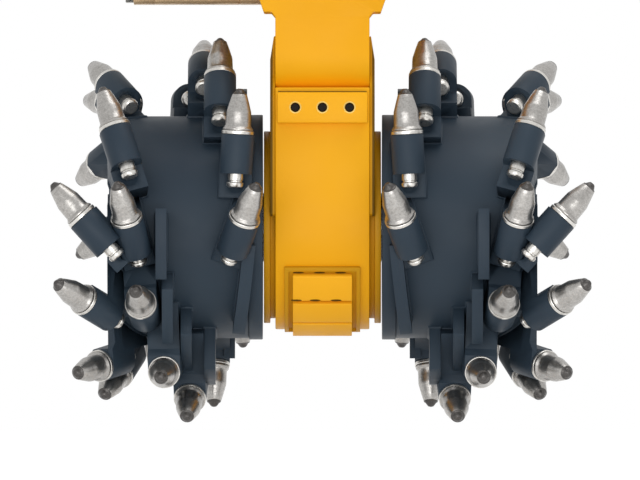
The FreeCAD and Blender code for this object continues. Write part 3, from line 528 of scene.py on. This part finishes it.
bar_low, bar_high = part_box("front_bar")
bar_places = (-HOLE_PITCH, 0, HOLE_PITCH)
bar = block("front_bar_painted", bar_low, bar_high, BAR_EDGE, 3)
for x in bar_places:
    let_go()
    bpy.ops.mesh.primitive_cylinder_add(
        vertices=40, radius=HOLE_R, depth=HOLE_CUT, location=(x, bar_low.y, HOLE_Z),
        rotation=(math.radians(90), 0, 0))
    combine(bar, name_new("hole"))
    let_go()
    bpy.ops.mesh.primitive_cone_add(
        vertices=40, radius1=HOLE_R - SINK_SLACK, radius2=SINK_R + SINK_SLACK, depth=SINK_HIGH,
        location=(x, bar_low.y + SINK_IN, HOLE_Z), rotation=(math.radians(90), 0, 0))
    combine(bar, name_new("sink"))
smooth(bar)
mount(bar, "housing", "housing_paint", YELLOW, "front_bar")
print("front bar has", len(bar.data.polygons), "faces")

# %% [markdown]
# The slanting faces of the countersinks get a paler yellow, which is a painted highlight. They
# are the ones near a hole that slant. A dark strip along the upper edge of the bar is a painted
# shadow in the joint there. It is a narrow block that stands out above the bar.

# %% Painted highlight in the countersinks and painted shadow above the bar
SINK_REACH = SINK_R + 0.0003
SHADOW_STRIP_OVER = 0.0014
SHADOW_STRIP_EDGE = 0.0006

# The paler yellow on the slanting countersink faces is a painted highlight.
bar.data.materials.append(HIGHLIGHT_YELLOW)
for face in bar.data.polygons:
    aside = min(math.hypot(face.center.x - x, face.center.z - HOLE_Z) for x in bar_places)
    slants = 0.2 < abs(face.normal.y) < 0.95
    if aside < SINK_REACH and slants:
        face.material_index = 1
print(sum(face.material_index for face in bar.data.polygons), "faces are rubbed")

# The dark strip on the upper edge of the bar is a painted shadow line.
shadow_strip_low = (bar_low.x + BAR_EDGE, bar_low.y + BAR_EDGE, bar_high.z - BAR_EDGE)
shadow_strip_high = (bar_high.x - BAR_EDGE, bar_high.y, bar_high.z + SHADOW_STRIP_OVER)
shadow_strip = block("painted_shadow_strip", shadow_strip_low, shadow_strip_high, SHADOW_STRIP_EDGE)
mount(smooth(shadow_strip), "housing", "housing_paint", DARK_WELD_AND_SHADOW)
print("sealer has", len(shadow_strip.data.polygons), "faces")

# %% [markdown]
# A blackened socket screw sits deep in each hole. It is a cylinder whose top face is bevelled at
# its rim, inset and pushed in for the socket. That face is found by its normal, which points up.

# %% Screws of the front bar
SCREW_R = 0.0064
SCREW_HIGH = 0.005
SCREW_EDGE = SCREW_HIGH * 0.12
SOCKET_R = 0.0028
SOCKET_INSET = SCREW_R * 0.88 - SOCKET_R
SOCKET_DEEP = SCREW_HIGH * 0.55


def select_upper_faces(piece, least):
    """Opens a piece in edit mode with the faces selected whose normal's Z is over the least."""
    take(piece)
    mesh = piece.data
    for item in (*mesh.vertices, *mesh.edges):
        item.select = False
    for face in mesh.polygons:
        face.select = face.normal.z > least
    bpy.ops.object.mode_set(mode="EDIT")
    bpy.ops.mesh.select_mode(type="FACE")


def break_upper_edges(piece, width):
    select_upper_faces(piece, 0.9)
    bpy.ops.mesh.bevel(offset=width, segments=2, affect="EDGES")
    bpy.ops.object.mode_set(mode="OBJECT")


def socket_screw(name):
    """A socket-head screw standing on its seat at the origin, its head up along Z."""
    let_go()
    bpy.ops.mesh.primitive_cylinder_add(vertices=24, radius=SCREW_R, depth=SCREW_HIGH,
                                        location=(0, 0, SCREW_HIGH / 2))
    screw = name_new(name)
    break_upper_edges(screw, SCREW_EDGE)
    select_upper_faces(screw, 0.99)
    bpy.ops.mesh.inset(thickness=SOCKET_INSET, depth=0)
    bpy.ops.mesh.extrude_region_move(TRANSFORM_OT_translate={"value": (0, 0, -SOCKET_DEEP)})
    bpy.ops.object.mode_set(mode="OBJECT")
    return smooth(screw)


bar_screw = socket_screw("bar_screw")
forwards = Matrix.Rotation(math.radians(90), 4, "X")
screws = []
for index, x in enumerate(bar_places):
    place = Matrix.Translation((x, bar_high.y, HOLE_Z)) @ forwards
    screws.append(copy_of(bar_screw, "bar_screw_%d" % index, place))
bpy.data.objects.remove(bar_screw)
mount(joined("front_bar_screws", screws), "housing", "plated_hardware", BLACK_STEEL)
print("front bar holds", len(screws), "screws")

# %% [markdown]
# The wear slats are held by short tack welds, painted dark. One bead is a small sphere that is
# drawn out along X. A ray from the front finds how deep the surface lies where a bead goes,
# and the bead sinks half into it.

# %% Tack welds of the wear slats
BEAD_HALF = 0.0080
BEAD_R = 0.0016
TACK_ROWS = {-0.5862: (-0.0349, -0.0042, 0.0264), -0.6263: (-0.0379, -0.0107, 0.0199)}


def find_depth(pieces, x, z):
    """How far back the first of the pieces lies that a ray from the front meets."""
    hits = [piece.ray_cast((x, -1, z), (0, 1, 0)) for piece in pieces]
    return min(hit[1].y for hit in hits if hit[0])


let_go()
bpy.ops.mesh.primitive_uv_sphere_add(segments=16, ring_count=10, radius=1,
                                     scale=(BEAD_HALF, BEAD_R, BEAD_R))
bead = name_new("bead")
plates = [bpy.data.objects["wear_slats_painted"], bpy.data.objects["wear_frame_painted"]]
beads = []
for z, row in TACK_ROWS.items():
    for x in row:
        place = Matrix.Translation((x, find_depth(plates, x, z), z))
        beads.append(copy_of(bead, "bead_%d" % len(beads), place))
bpy.data.objects.remove(bead)
mount(smooth(joined("tack_welds", beads)), "housing", "housing_paint", DARK_WELD_AND_SHADOW)
print("tack welds:", len(beads))

# %% [markdown]
# ## Motor
#
# The motor is bare cast and machined metal. Its blocks get wider rounding than the plates, as
# sand castings have. Its bolts and ports and the oil plugs of the case are zinc plated.

# %% Motor pieces
for node, width in (("motor_front_cover", 0.002), ("motor_body", 0.002),
                    ("motor_end_cover", 0.002), ("motor_plate", 0.0012)):
    dress(node, "_cast", width, "housing", "motor_casting", CAST)
for node in ("motor_bolts", "motor_port_fittings", "oil_plugs"):
    dress(node, "_plated", 0.001, "housing", "plated_hardware", PLATED)

# %% [markdown]
# ## Drums
#
# The drums are rolled and welded steel. The shells, end plates and flights are rounded copies
# again.

# %% Drum pieces
for node, width in (
        ("drum_shell_left", 0.0015), ("drum_shell_right", 0.0015),
        ("drum_inner_plates", 0.0012), ("end_cover_left", 0.0015), ("end_cover_right", 0.0015),
        ("flights_left", 0.0012), ("flights_right", 0.0012)):
    dress(node, "_painted", width, "drums", "drum_paint", DARK)

# %% [markdown]
# The end covers of the drums and the cap over the pinion are bolted on. A bolt is a six-sided
# cylinder on a round washer, both with broken upper edges. A ray from the side finds the face
# that each bolt stands on.

# %% Bolts of the covers
WASHER_SUNK = 0.0004


def bolt_head(head_r, head_high):
    """A hexagon head on its washer, standing on the origin along Z."""
    washer_r = head_r * 1.22
    washer_top = head_high * 0.22
    head_foot = head_high * 0.2
    edge = head_r * 0.09
    steps = []
    for sides, radius, low, high in ((28, washer_r, -WASHER_SUNK, washer_top),
                                     (6, head_r, head_foot, head_high)):
        let_go()
        bpy.ops.mesh.primitive_cylinder_add(vertices=sides, radius=radius, depth=high - low,
                                            location=(0, 0, (low + high) / 2))
        step = name_new("bolt_step")
        break_upper_edges(step, edge)
        steps.append(step)
    return smooth(joined("bolt_head", steps))


def bolt_ring(name, cover_node, inset, count, head_r, head_high):
    """Bolt heads on a circle that lies inside the rim of a cover."""
    low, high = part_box(cover_node)
    side = 1 if high.x > 0 else -1
    middle_y = (low.y + high.y) / 2
    middle_z = (low.z + high.z) / 2
    circle = (high.z - low.z) / 2 - inset
    cover = bpy.data.objects[cover_node + "_painted"]
    outwards = Matrix.Rotation(math.radians(90 * side), 4, "Y")
    head = bolt_head(head_r, head_high)
    bolts = []
    for index in range(count):
        turn = 2 * math.pi * (index + 0.5) / count
        y = middle_y + circle * math.cos(turn)
        z = middle_z + circle * math.sin(turn)
        seat = cover.ray_cast((side, y, z), (-side, 0, 0))[1]
        bolts.append(copy_of(head, "%s_%d" % (name, index), Matrix.Translation(seat) @ outwards))
    bpy.data.objects.remove(head)
    print(name, "stand at x", round(seat.x, 4))
    return joined(name, bolts)


for side in ("left", "right"):
    ring = bolt_ring("cover_bolts_" + side, "end_cover_" + side, inset=0.017, count=10,
                     head_r=0.0092, head_high=0.0075)
    mount(ring, "drums", "plated_hardware", BLACK_STEEL)
ring = bolt_ring("cap_bolts", "pinion_cap", inset=0.009, count=6, head_r=0.0055,
                 head_high=0.0045)
mount(ring, "housing", "plated_hardware", PLATED)

# %% [markdown]
# ## Where each pick stands
#
# Every pick is a solid of its own inside its node, so its place can be read from the solids. The
# faces of a node come solid by solid, so each solid gets a material number of its own, and
# Blender can separate by that. A solid is whole when each of its edges has been met from both
# sides.

# %% Take a node apart
def solid_numbers(mesh):
    """The number of the solid that each face belongs to."""
    corners = [tuple(round(part * 1e6) for part in point.co) for point in mesh.vertices]
    open_edges = set()
    numbers = []
    number = 0
    for face in mesh.polygons:
        numbers.append(number)
        around = [corners[index] for index in face.vertices]
        for start, end in zip(around, around[1:] + around[:1]):
            if (end, start) in open_edges:
                open_edges.remove((end, start))
            else:
                open_edges.add((start, end))
        if not open_edges:
            number += 1
    return numbers


def solids_of(node):
    """A closed piece for each solid of a node."""
    piece = copy_of(frame["nodes"][node], node + "_part")
    mesh = piece.data
    mesh.materials.clear()
    numbers = solid_numbers(mesh)
    for _ in range(max(numbers) + 1):
        mesh.materials.append(None)
    for face, number in zip(mesh.polygons, numbers):
        face.material_index = number
    take(piece)
    bpy.ops.mesh.separate(type="MATERIAL")
    parts = list(bpy.context.selected_objects)
    for part in parts:
        part.data.materials.clear()
        open_merged(part)
        bpy.ops.mesh.normals_make_consistent(inside=False)
        bpy.ops.object.mode_set(mode="OBJECT")
    return parts


def corner_groups(node):
    """The corners of each solid in a node."""
    parts = solids_of(node)
    groups = [[point.co.copy() for point in part.data.vertices] for part in parts]
    for part in parts:
        bpy.data.objects.remove(part)
    return groups


# %% [markdown]
# The carbide tip of a pick is the one that lies nearest to its steel, and the line from the
# steel's middle to the tip's middle is the way the pick points. The face of the holder, where the
# washer rests, lies 67 mm behind the point.

# %% Read the places of the picks
TIP_AT = 0.067


def middle(points):
    return sum(points, Vector()) / len(points)


def apart(points, others):
    return min((a - b).length for a in points for b in others)


def pick_places(side):
    """Face centre of the holder and direction of each pick of one drum."""
    tips = corner_groups("pick_tips_" + side)
    found = []
    for steel in corner_groups("pick_bodies_" + side):
        base = middle(steel)
        tip = min(tips, key=lambda points: apart(points, steel))
        along = (middle(tip) - base).normalized()
        reach = max(point.dot(along) for point in tip)
        face = base + along * (reach - base.dot(along) - TIP_AT)
        found.append((face, along))
    return found


places = {side: pick_places(side) for side in ("left", "right")}
print({side: len(found) for side, found in places.items()}, "picks")

# %% [markdown]
# A pick may be turned anyhow, but its holder stands on the drum. Its way up goes from a root
# inside the drum to the middle of the sleeve. Near the ends of a drum the root stays under the
# shell, so those holders lean.

# %% The turn of a pick and its holder
HOLDER_LENGTH = 0.057
ROOT_R = 0.150
ROOT_NEAREST = 0.111
ROOT_FARTHEST = 0.294


def up_from_drum(face, along):
    """The way from the drum to the middle of the sleeve, square to the pick."""
    sleeve = face - along * (HOLDER_LENGTH / 2)
    turn = math.atan2(sleeve.z - SHAFT_Z, sleeve.y)
    reach = max(ROOT_NEAREST, min(ROOT_FARTHEST, abs(sleeve.x)))
    root = Vector((math.copysign(reach, sleeve.x), ROOT_R * math.cos(turn),
                   ROOT_R * math.sin(turn) + SHAFT_Z))
    up = sleeve - root
    up = up - along * up.dot(along)
    return up.normalized()


def pick_matrix(face, along):
    """Moves a piece to a holder's face, with its Z along the pick and its Y up."""
    up = up_from_drum(face, along)
    across = up.cross(along)
    turn = Matrix((across, up, along)).transposed().to_4x4()
    return Matrix.Translation(face) @ turn


print("roots lie", ROOT_R * 1000, "mm off the shaft")

# %% [markdown]
# ## The pick
#
# A pick is turned from bar: a bullet-shaped head, a collar, a washer under it, and a shank that
# ends behind the holder in a ring groove and a dome. A disc is extruded upwards ring by ring,
# each time to the radius of the next step.

# %% A turned piece
def turned_piece(name, profile, sides):
    """Extrudes a disc along Z through (radius, height) steps in millimetres."""
    let_go()
    radius, height = profile[0]
    bpy.ops.mesh.primitive_circle_add(vertices=sides, radius=radius / 1000, fill_type="NGON",
                                      location=(0, 0, height / 1000))
    piece = name_new(name)
    bpy.ops.object.mode_set(mode="EDIT")
    bpy.ops.mesh.select_all(action="SELECT")
    for next_radius, next_height in profile[1:]:
        bpy.ops.mesh.extrude_region_move(
            TRANSFORM_OT_translate={"value": (0, 0, (next_height - height) / 1000)})
        share = next_radius / radius
        bpy.ops.transform.resize(value=(share, share, 1),
                                 center_override=(0, 0, next_height / 1000))
        radius, height = next_radius, next_height
    bpy.ops.mesh.select_all(action="SELECT")
    bpy.ops.mesh.normals_make_consistent(inside=False)
    bpy.ops.object.mode_set(mode="OBJECT")
    return smooth(piece, 28)


def remember_place(piece):
    """Keeps each corner's place on the pick, for the grain of the steel."""
    layer = piece.data.attributes.new("pick_place", "FLOAT_VECTOR", "POINT")
    for point, value in zip(piece.data.vertices, layer.data):
        value.vector = point.co


# %% One turned pick
HEAD = [(11.5, -1), (11.5, 6.4), (21.6, 6.4), (22.0, 6.9), (22.0, 8.6), (21.2, 9.8),
        (19.6, 11.6), (18.9, 13.0), (18.5, 22), (18.1, 32), (17.8, 34.2), (17.2, 36),
        (14.0, 47.4), (10.8, 57.8), (10.0, 58.9), (8.0, 59.3)]
WASHER = [(12.2, 0.4), (22.8, 0.4), (23.4, 1.0), (23.4, 4.8), (22.8, 5.6), (12.2, 5.8)]
SHANK = [(5.5, -77), (9.4, -77), (11.4, -75.6), (12.4, -73.6), (12.4, -70.4), (11.8, -69.4),
         (10.0, -69), (10.0, -67), (11.3, -66.4), (11.3, -60), (11.3, 0)]
CAP = [(10.2, 58.2), (10.2, 59.5), (9.4, 60.2), (8.2, 60.8), (7.6, 61.6), (6.0, 64.0),
       (4.2, 66.2), (2.6, 66.9)]

pick_parts = {}
for part, profile, sides in (("head", HEAD, 40), ("washer", WASHER, 40), ("shank", SHANK, 28),
                             ("cap", CAP, 28)):
    pick_parts[part] = turned_piece("pick_" + part, profile, sides)
    remember_place(pick_parts[part])
    print("pick", part, len(pick_parts[part].data.polygons), "faces")

# %% [markdown]
# The pick is copied to its fifty places, a head for every steel body and a cap for every tip. The
# copies of a part on one drum become one piece.

# %% Copy the pick to its fifty places
for side in ("left", "right"):
    for part, material, slot in (("head", PICK_STEEL, "pick_steel"),
                                 ("washer", RUBBED_STEEL, "pick_steel"),
                                 ("shank", RUBBED_STEEL, "pick_steel"),
                                 ("cap", CARBIDE, "carbide")):
        copies = [copy_of(pick_parts[part], "%s_%d" % (part, index), pick_matrix(face, along))
                  for index, (face, along) in enumerate(places[side])]
        whole = joined("pick_%ss_%s" % (part, side), copies)
        mount(whole, "drums", slot, material)
        print(whole.name, len(whole.data.polygons), "faces")
    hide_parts("pick_bodies_" + side)
    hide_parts("pick_tips_" + side)
for part in pick_parts.values():
    bpy.data.objects.remove(part)

# %% [markdown]
# ## The holders
#
# A holder is a forged sleeve with a foot under it and a heel behind. Its top is round, its sides
# go straight down to the drum, and a scoop in the heel leaves room for the end of the shank. The
# foot has to fit the feet and picks around it, and the solids already have those cuts. So one
# full holder is modelled, and at each place only what it shares with the solid is kept. It is a
# hair smaller than the solid, because two faces in one plane confuse a boolean.

# %% One full holder
HAIR = 0.00006
HOLDER_R = 0.0235
FOOT_DEEP = 0.104
HEEL_DEEP = 0.103
HEEL_TOP = 0.014
HEEL_START = 0.030
HEEL_END = 0.092
SCOOP_R = 0.0215
SCOOP_PLACE = (0, 0.0035, -0.0735)
HOLDER_EDGE = 0.0013


def full_holder():
    wide = HOLDER_R - HAIR
    let_go()
    bpy.ops.mesh.primitive_cylinder_add(vertices=48, radius=wide,
                                        depth=HOLDER_LENGTH - 2 * HAIR,
                                        location=(0, 0, -HOLDER_LENGTH / 2))
    holder = name_new("holder")
    foot = block("foot", (-wide, -FOOT_DEEP, HAIR - HOLDER_LENGTH), (wide, 0, -HAIR))
    combine(holder, foot, "UNION")
    heel = block("heel", (-wide, -HEEL_DEEP, -HEEL_END + HAIR),
                 (wide, -HEEL_TOP - HAIR, -HEEL_START))
    combine(holder, heel, "UNION")
    let_go()
    bpy.ops.mesh.primitive_uv_sphere_add(segments=40, ring_count=24, radius=SCOOP_R,
                                         location=SCOOP_PLACE)
    combine(holder, name_new("scoop"))
    return apply_modifier(holder, "BEVEL", width=HOLDER_EDGE, segments=2, limit_method="ANGLE",
                          angle_limit=math.radians(50))


whole_holder = full_holder()
print("one holder has", len(whole_holder.data.polygons), "faces")

# %% [markdown]
# Each solid is found by its bore: the corners of the bore lie at one distance from the line of
# the pick that goes through it. The print shows how much of its solid each holder fills.

# %% Find the solid of a holder
BORE_R = 0.0113
BORE_SLACK = 0.0002
END_SLACK = 0.001


def bore_corners(part, face, along):
    """How many corners of the part lie on the bore round this pick."""
    count = 0
    for point in part.data.vertices:
        way = point.co - face
        deep = way.dot(along)
        aside = (way - along * deep).length
        in_length = -HOLDER_LENGTH - END_SLACK < deep < END_SLACK
        if in_length and abs(aside - BORE_R) < BORE_SLACK:
            count += 1
    return count


def volume(piece):
    """Cubic centimetres inside a closed mesh."""
    shape = bmesh.new()
    shape.from_mesh(piece.data)
    inside = shape.calc_volume() * 1e6
    shape.free()
    return inside


# %% Fit the holder at its fifty places
for side in ("left", "right"):
    solids = solids_of("pick_holders_" + side)
    finished = []
    for index, (face, along) in enumerate(places[side]):
        solid = max(solids, key=lambda part: bore_corners(part, face, along))
        blank = copy_of(whole_holder, "holder_%d" % index, pick_matrix(face, along))
        apply_modifier(blank, "BOOLEAN", operation="INTERSECT", object=solid, solver="EXACT")
        print("holder", side, index, "keeps", round(volume(blank) / volume(solid), 3),
              "of its solid with", len(blank.data.polygons), "faces")
        finished.append(blank)
    for part in solids:
        bpy.data.objects.remove(part)
    whole = smooth(joined("pick_holders_%s_forged" % side, finished), 35)
    mount(whole, "drums", "drum_paint", DARK, "pick_holders_" + side)
    print(whole.name, len(whole.data.polygons), "faces")
bpy.data.objects.remove(whole_holder)

# %% [markdown]
# The feet of the holders and the flights are welded to the drum. A weld bead runs along the edges
# where a solid meets the shell: on one side of such an edge the face lies on the drum, and on the
# other side it rises. Those edges are duplicated as a wire, which becomes a curve with a round
# section and then a mesh.

# %% Edges where a solid meets the drum
shell_low, shell_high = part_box("drum_shell_left")
DRUM_R = (shell_high.z - shell_low.z) / 2
DRUM_SLACK = 0.0005


def lies_on_drum(face):
    return all(abs(math.hypot(point.co.y, point.co.z - SHAFT_Z) - DRUM_R) < DRUM_SLACK
               for point in face.verts)


def foot_edges(part):
    """Numbers of the edges where the part meets the drum."""
    shape = bmesh.new()
    shape.from_mesh(part.data)
    numbers = {edge.index for edge in shape.edges
               if sum(lies_on_drum(face) for face in edge.link_faces) == 1}
    shape.free()
    return numbers


print("drum radius", round(DRUM_R, 4))

# %% Weld beads round the feet
WELD_R = 0.0026


def foot_wire(part):
    """Leaves nothing of a part but a wire along its foot."""
    wanted = foot_edges(part)
    take(part)
    bpy.ops.object.mode_set(mode="EDIT")
    bpy.ops.mesh.select_mode(type="EDGE")
    bpy.ops.mesh.select_all(action="DESELECT")
    bpy.ops.object.mode_set(mode="OBJECT")
    for edge in part.data.edges:
        edge.select = edge.index in wanted
    bpy.ops.object.mode_set(mode="EDIT")
    bpy.ops.mesh.duplicate()
    bpy.ops.mesh.select_all(action="INVERT")
    bpy.ops.mesh.delete(type="VERT")
    bpy.ops.object.mode_set(mode="OBJECT")
    return part


def weld_beads(name, node):
    welds = joined(name, [foot_wire(part) for part in solids_of(node)])
    take(welds)
    bpy.ops.object.convert(target="CURVE")
    welds.data.bevel_depth = WELD_R
    welds.data.bevel_resolution = 1
    welds.data.use_fill_caps = True
    bpy.ops.object.convert(target="MESH")
    return smooth(bpy.context.object, 60)


for side in ("left", "right"):
    for kind, node in (("holder", "pick_holders_"), ("flight", "flights_")):
        welds = weld_beads("%s_welds_%s" % (kind, side), node + side)
        mount(welds, "drums", "drum_paint", DARK)
        print(welds.name, len(welds.data.polygons), "faces")

# %% [markdown]
# ## What stays as it came
#
# Shafts, gears, bearings and webs are closed in by the case and the drums, and keep their solids.
# They get the finish that such pieces have, for anyone who opens the model.

# %% Finishes of the inner pieces
inner = {
    MACHINED: ["main_bearing_cups", "main_bearing_cones", "main_bearing_rollers",
               "output_shaft", "shaft_spacer", "output_gear", "output_gear_key", "idler_gear",
               "idler_pin", "drive_pinion", "pinion_bearing_cups", "pinion_bearing_rollers",
               "motor_shaft", "motor_driven_gear", "shaft_hubs", "hub_retainers"],
    PLATED: ["hub_bolts"],
    DARK: ["drum_webs"],
    BRONZE: ["idler_bush"],
    RUBBER: ["shaft_seals"],
}
for material, nodes in inner.items():
    for node in nodes:
        solid = frame["nodes"][node]
        solid.data.materials.clear()
        solid.data.materials.append(material)
print("inner pieces painted:", sum(len(nodes) for nodes in inner.values()))

# %% [markdown]
# ## Floor, sky and lamps
#
# The floor is pale, lies below the picks and keeps their shadow. A glow lifts it to the white of
# the picture. Only the camera and the gloss of the metal see that glow, so it adds no light to
# the machine.

# %% Floor
FLOOR_Z = -0.93
FLOOR_SIZE = 24
FLOOR_PALE = (0.86, 0.86, 0.86, 1)
FLOOR_GLOW = 0.6


def seen_directly(tree):
    """One for rays from the camera, off a gloss or through glass, and zero for other light."""
    path = tree.nodes.new("ShaderNodeLightPath")
    seen = counted(tree, "MAXIMUM", path.outputs["Is Camera Ray"], path.outputs["Is Glossy Ray"])
    return counted(tree, "MAXIMUM", seen, path.outputs["Is Transmission Ray"])


let_go()
bpy.ops.mesh.primitive_plane_add(size=FLOOR_SIZE, location=(0, 0, FLOOR_Z))
floor = name_new("floor")
floor_paint = bpy.data.materials.new("floor_paint")
floor_paint.use_nodes = True
tree = floor_paint.node_tree
shader = tree.nodes["Principled BSDF"]
shader.inputs["Base Color"].default_value = FLOOR_PALE
shader.inputs["Roughness"].default_value = 1.0
shader.inputs["Specular IOR Level"].default_value = 0.0
glow = tree.nodes.new("ShaderNodeEmission")
glow.inputs["Color"].default_value = (1, 1, 1, 1)
glow_share = counted(tree, "MULTIPLY", seen_directly(tree), FLOOR_GLOW)
tree.links.new(glow_share, glow.inputs["Strength"])
both = tree.nodes.new("ShaderNodeAddShader")
tree.links.new(shader.outputs["BSDF"], both.inputs[0])
tree.links.new(glow.outputs["Emission"], both.inputs[1])
tree.links.new(both.outputs["Shader"], tree.nodes["Material Output"].inputs["Surface"])
floor.data.materials.append(floor_paint)
print("floor at", floor.data.vertices[0].co.z)

# %% [markdown]
# A white sky lights the machine from all sides. Where the camera or a gloss looks past the
# machine it sees plain white, while the light that falls on the machine is weaker.

# %% Sky
SKY_LIGHT = 0.62
SKY_WHITE = 1.0

world = bpy.data.worlds.new("studio_sky")
bpy.context.scene.world = world
world.use_nodes = True
tree = world.node_tree
background = tree.nodes["Background"]
background.inputs["Color"].default_value = (1, 1, 1, 1)
strength = spread(tree, seen_directly(tree), 0.0, 1.0, SKY_LIGHT, SKY_WHITE)
tree.links.new(strength, background.inputs["Strength"])
print("sky lights with", SKY_LIGHT)

# %% [markdown]
# Three soft lamps shape the machine: a wide one in front, a flat one low in front for the foot of
# the case, and one above for the upper edges. The camera doesn't see them.

# %% Lamps
CASE_MIDDLE = (0, 0, -0.45)
CASE_FOOT = (0, 0, -0.62)


def soft_lamp(name, place, target, width, height, watts):
    lamp_data = bpy.data.lights.new(name, "AREA")
    lamp_data.shape = "RECTANGLE"
    lamp_data.size = width
    lamp_data.size_y = height
    lamp_data.energy = watts
    lamp = bpy.data.objects.new(name, lamp_data)
    lamp.location = place
    way = Vector(target) - Vector(place)
    lamp.rotation_euler = way.to_track_quat("-Z", "Y").to_euler()
    lamp.visible_camera = False
    bpy.context.scene.collection.objects.link(lamp)
    print(name, watts, "W")


soft_lamp("front_lamp", (-0.6, -3.4, -0.2), CASE_MIDDLE, width=3.2, height=1.3, watts=29)
soft_lamp("low_lamp", (0.2, -2.4, -0.74), CASE_FOOT, width=1.6, height=0.3, watts=6.5)
soft_lamp("top_lamp", (0.8, -0.6, 2.6), CASE_MIDDLE, width=2.0, height=2.0, watts=30)

# %% [markdown]
# ## The colour view
#
# The Standard view shows a colour about as it is written.

# %% Plain colours
bpy.context.scene.view_settings.view_transform = "Standard"
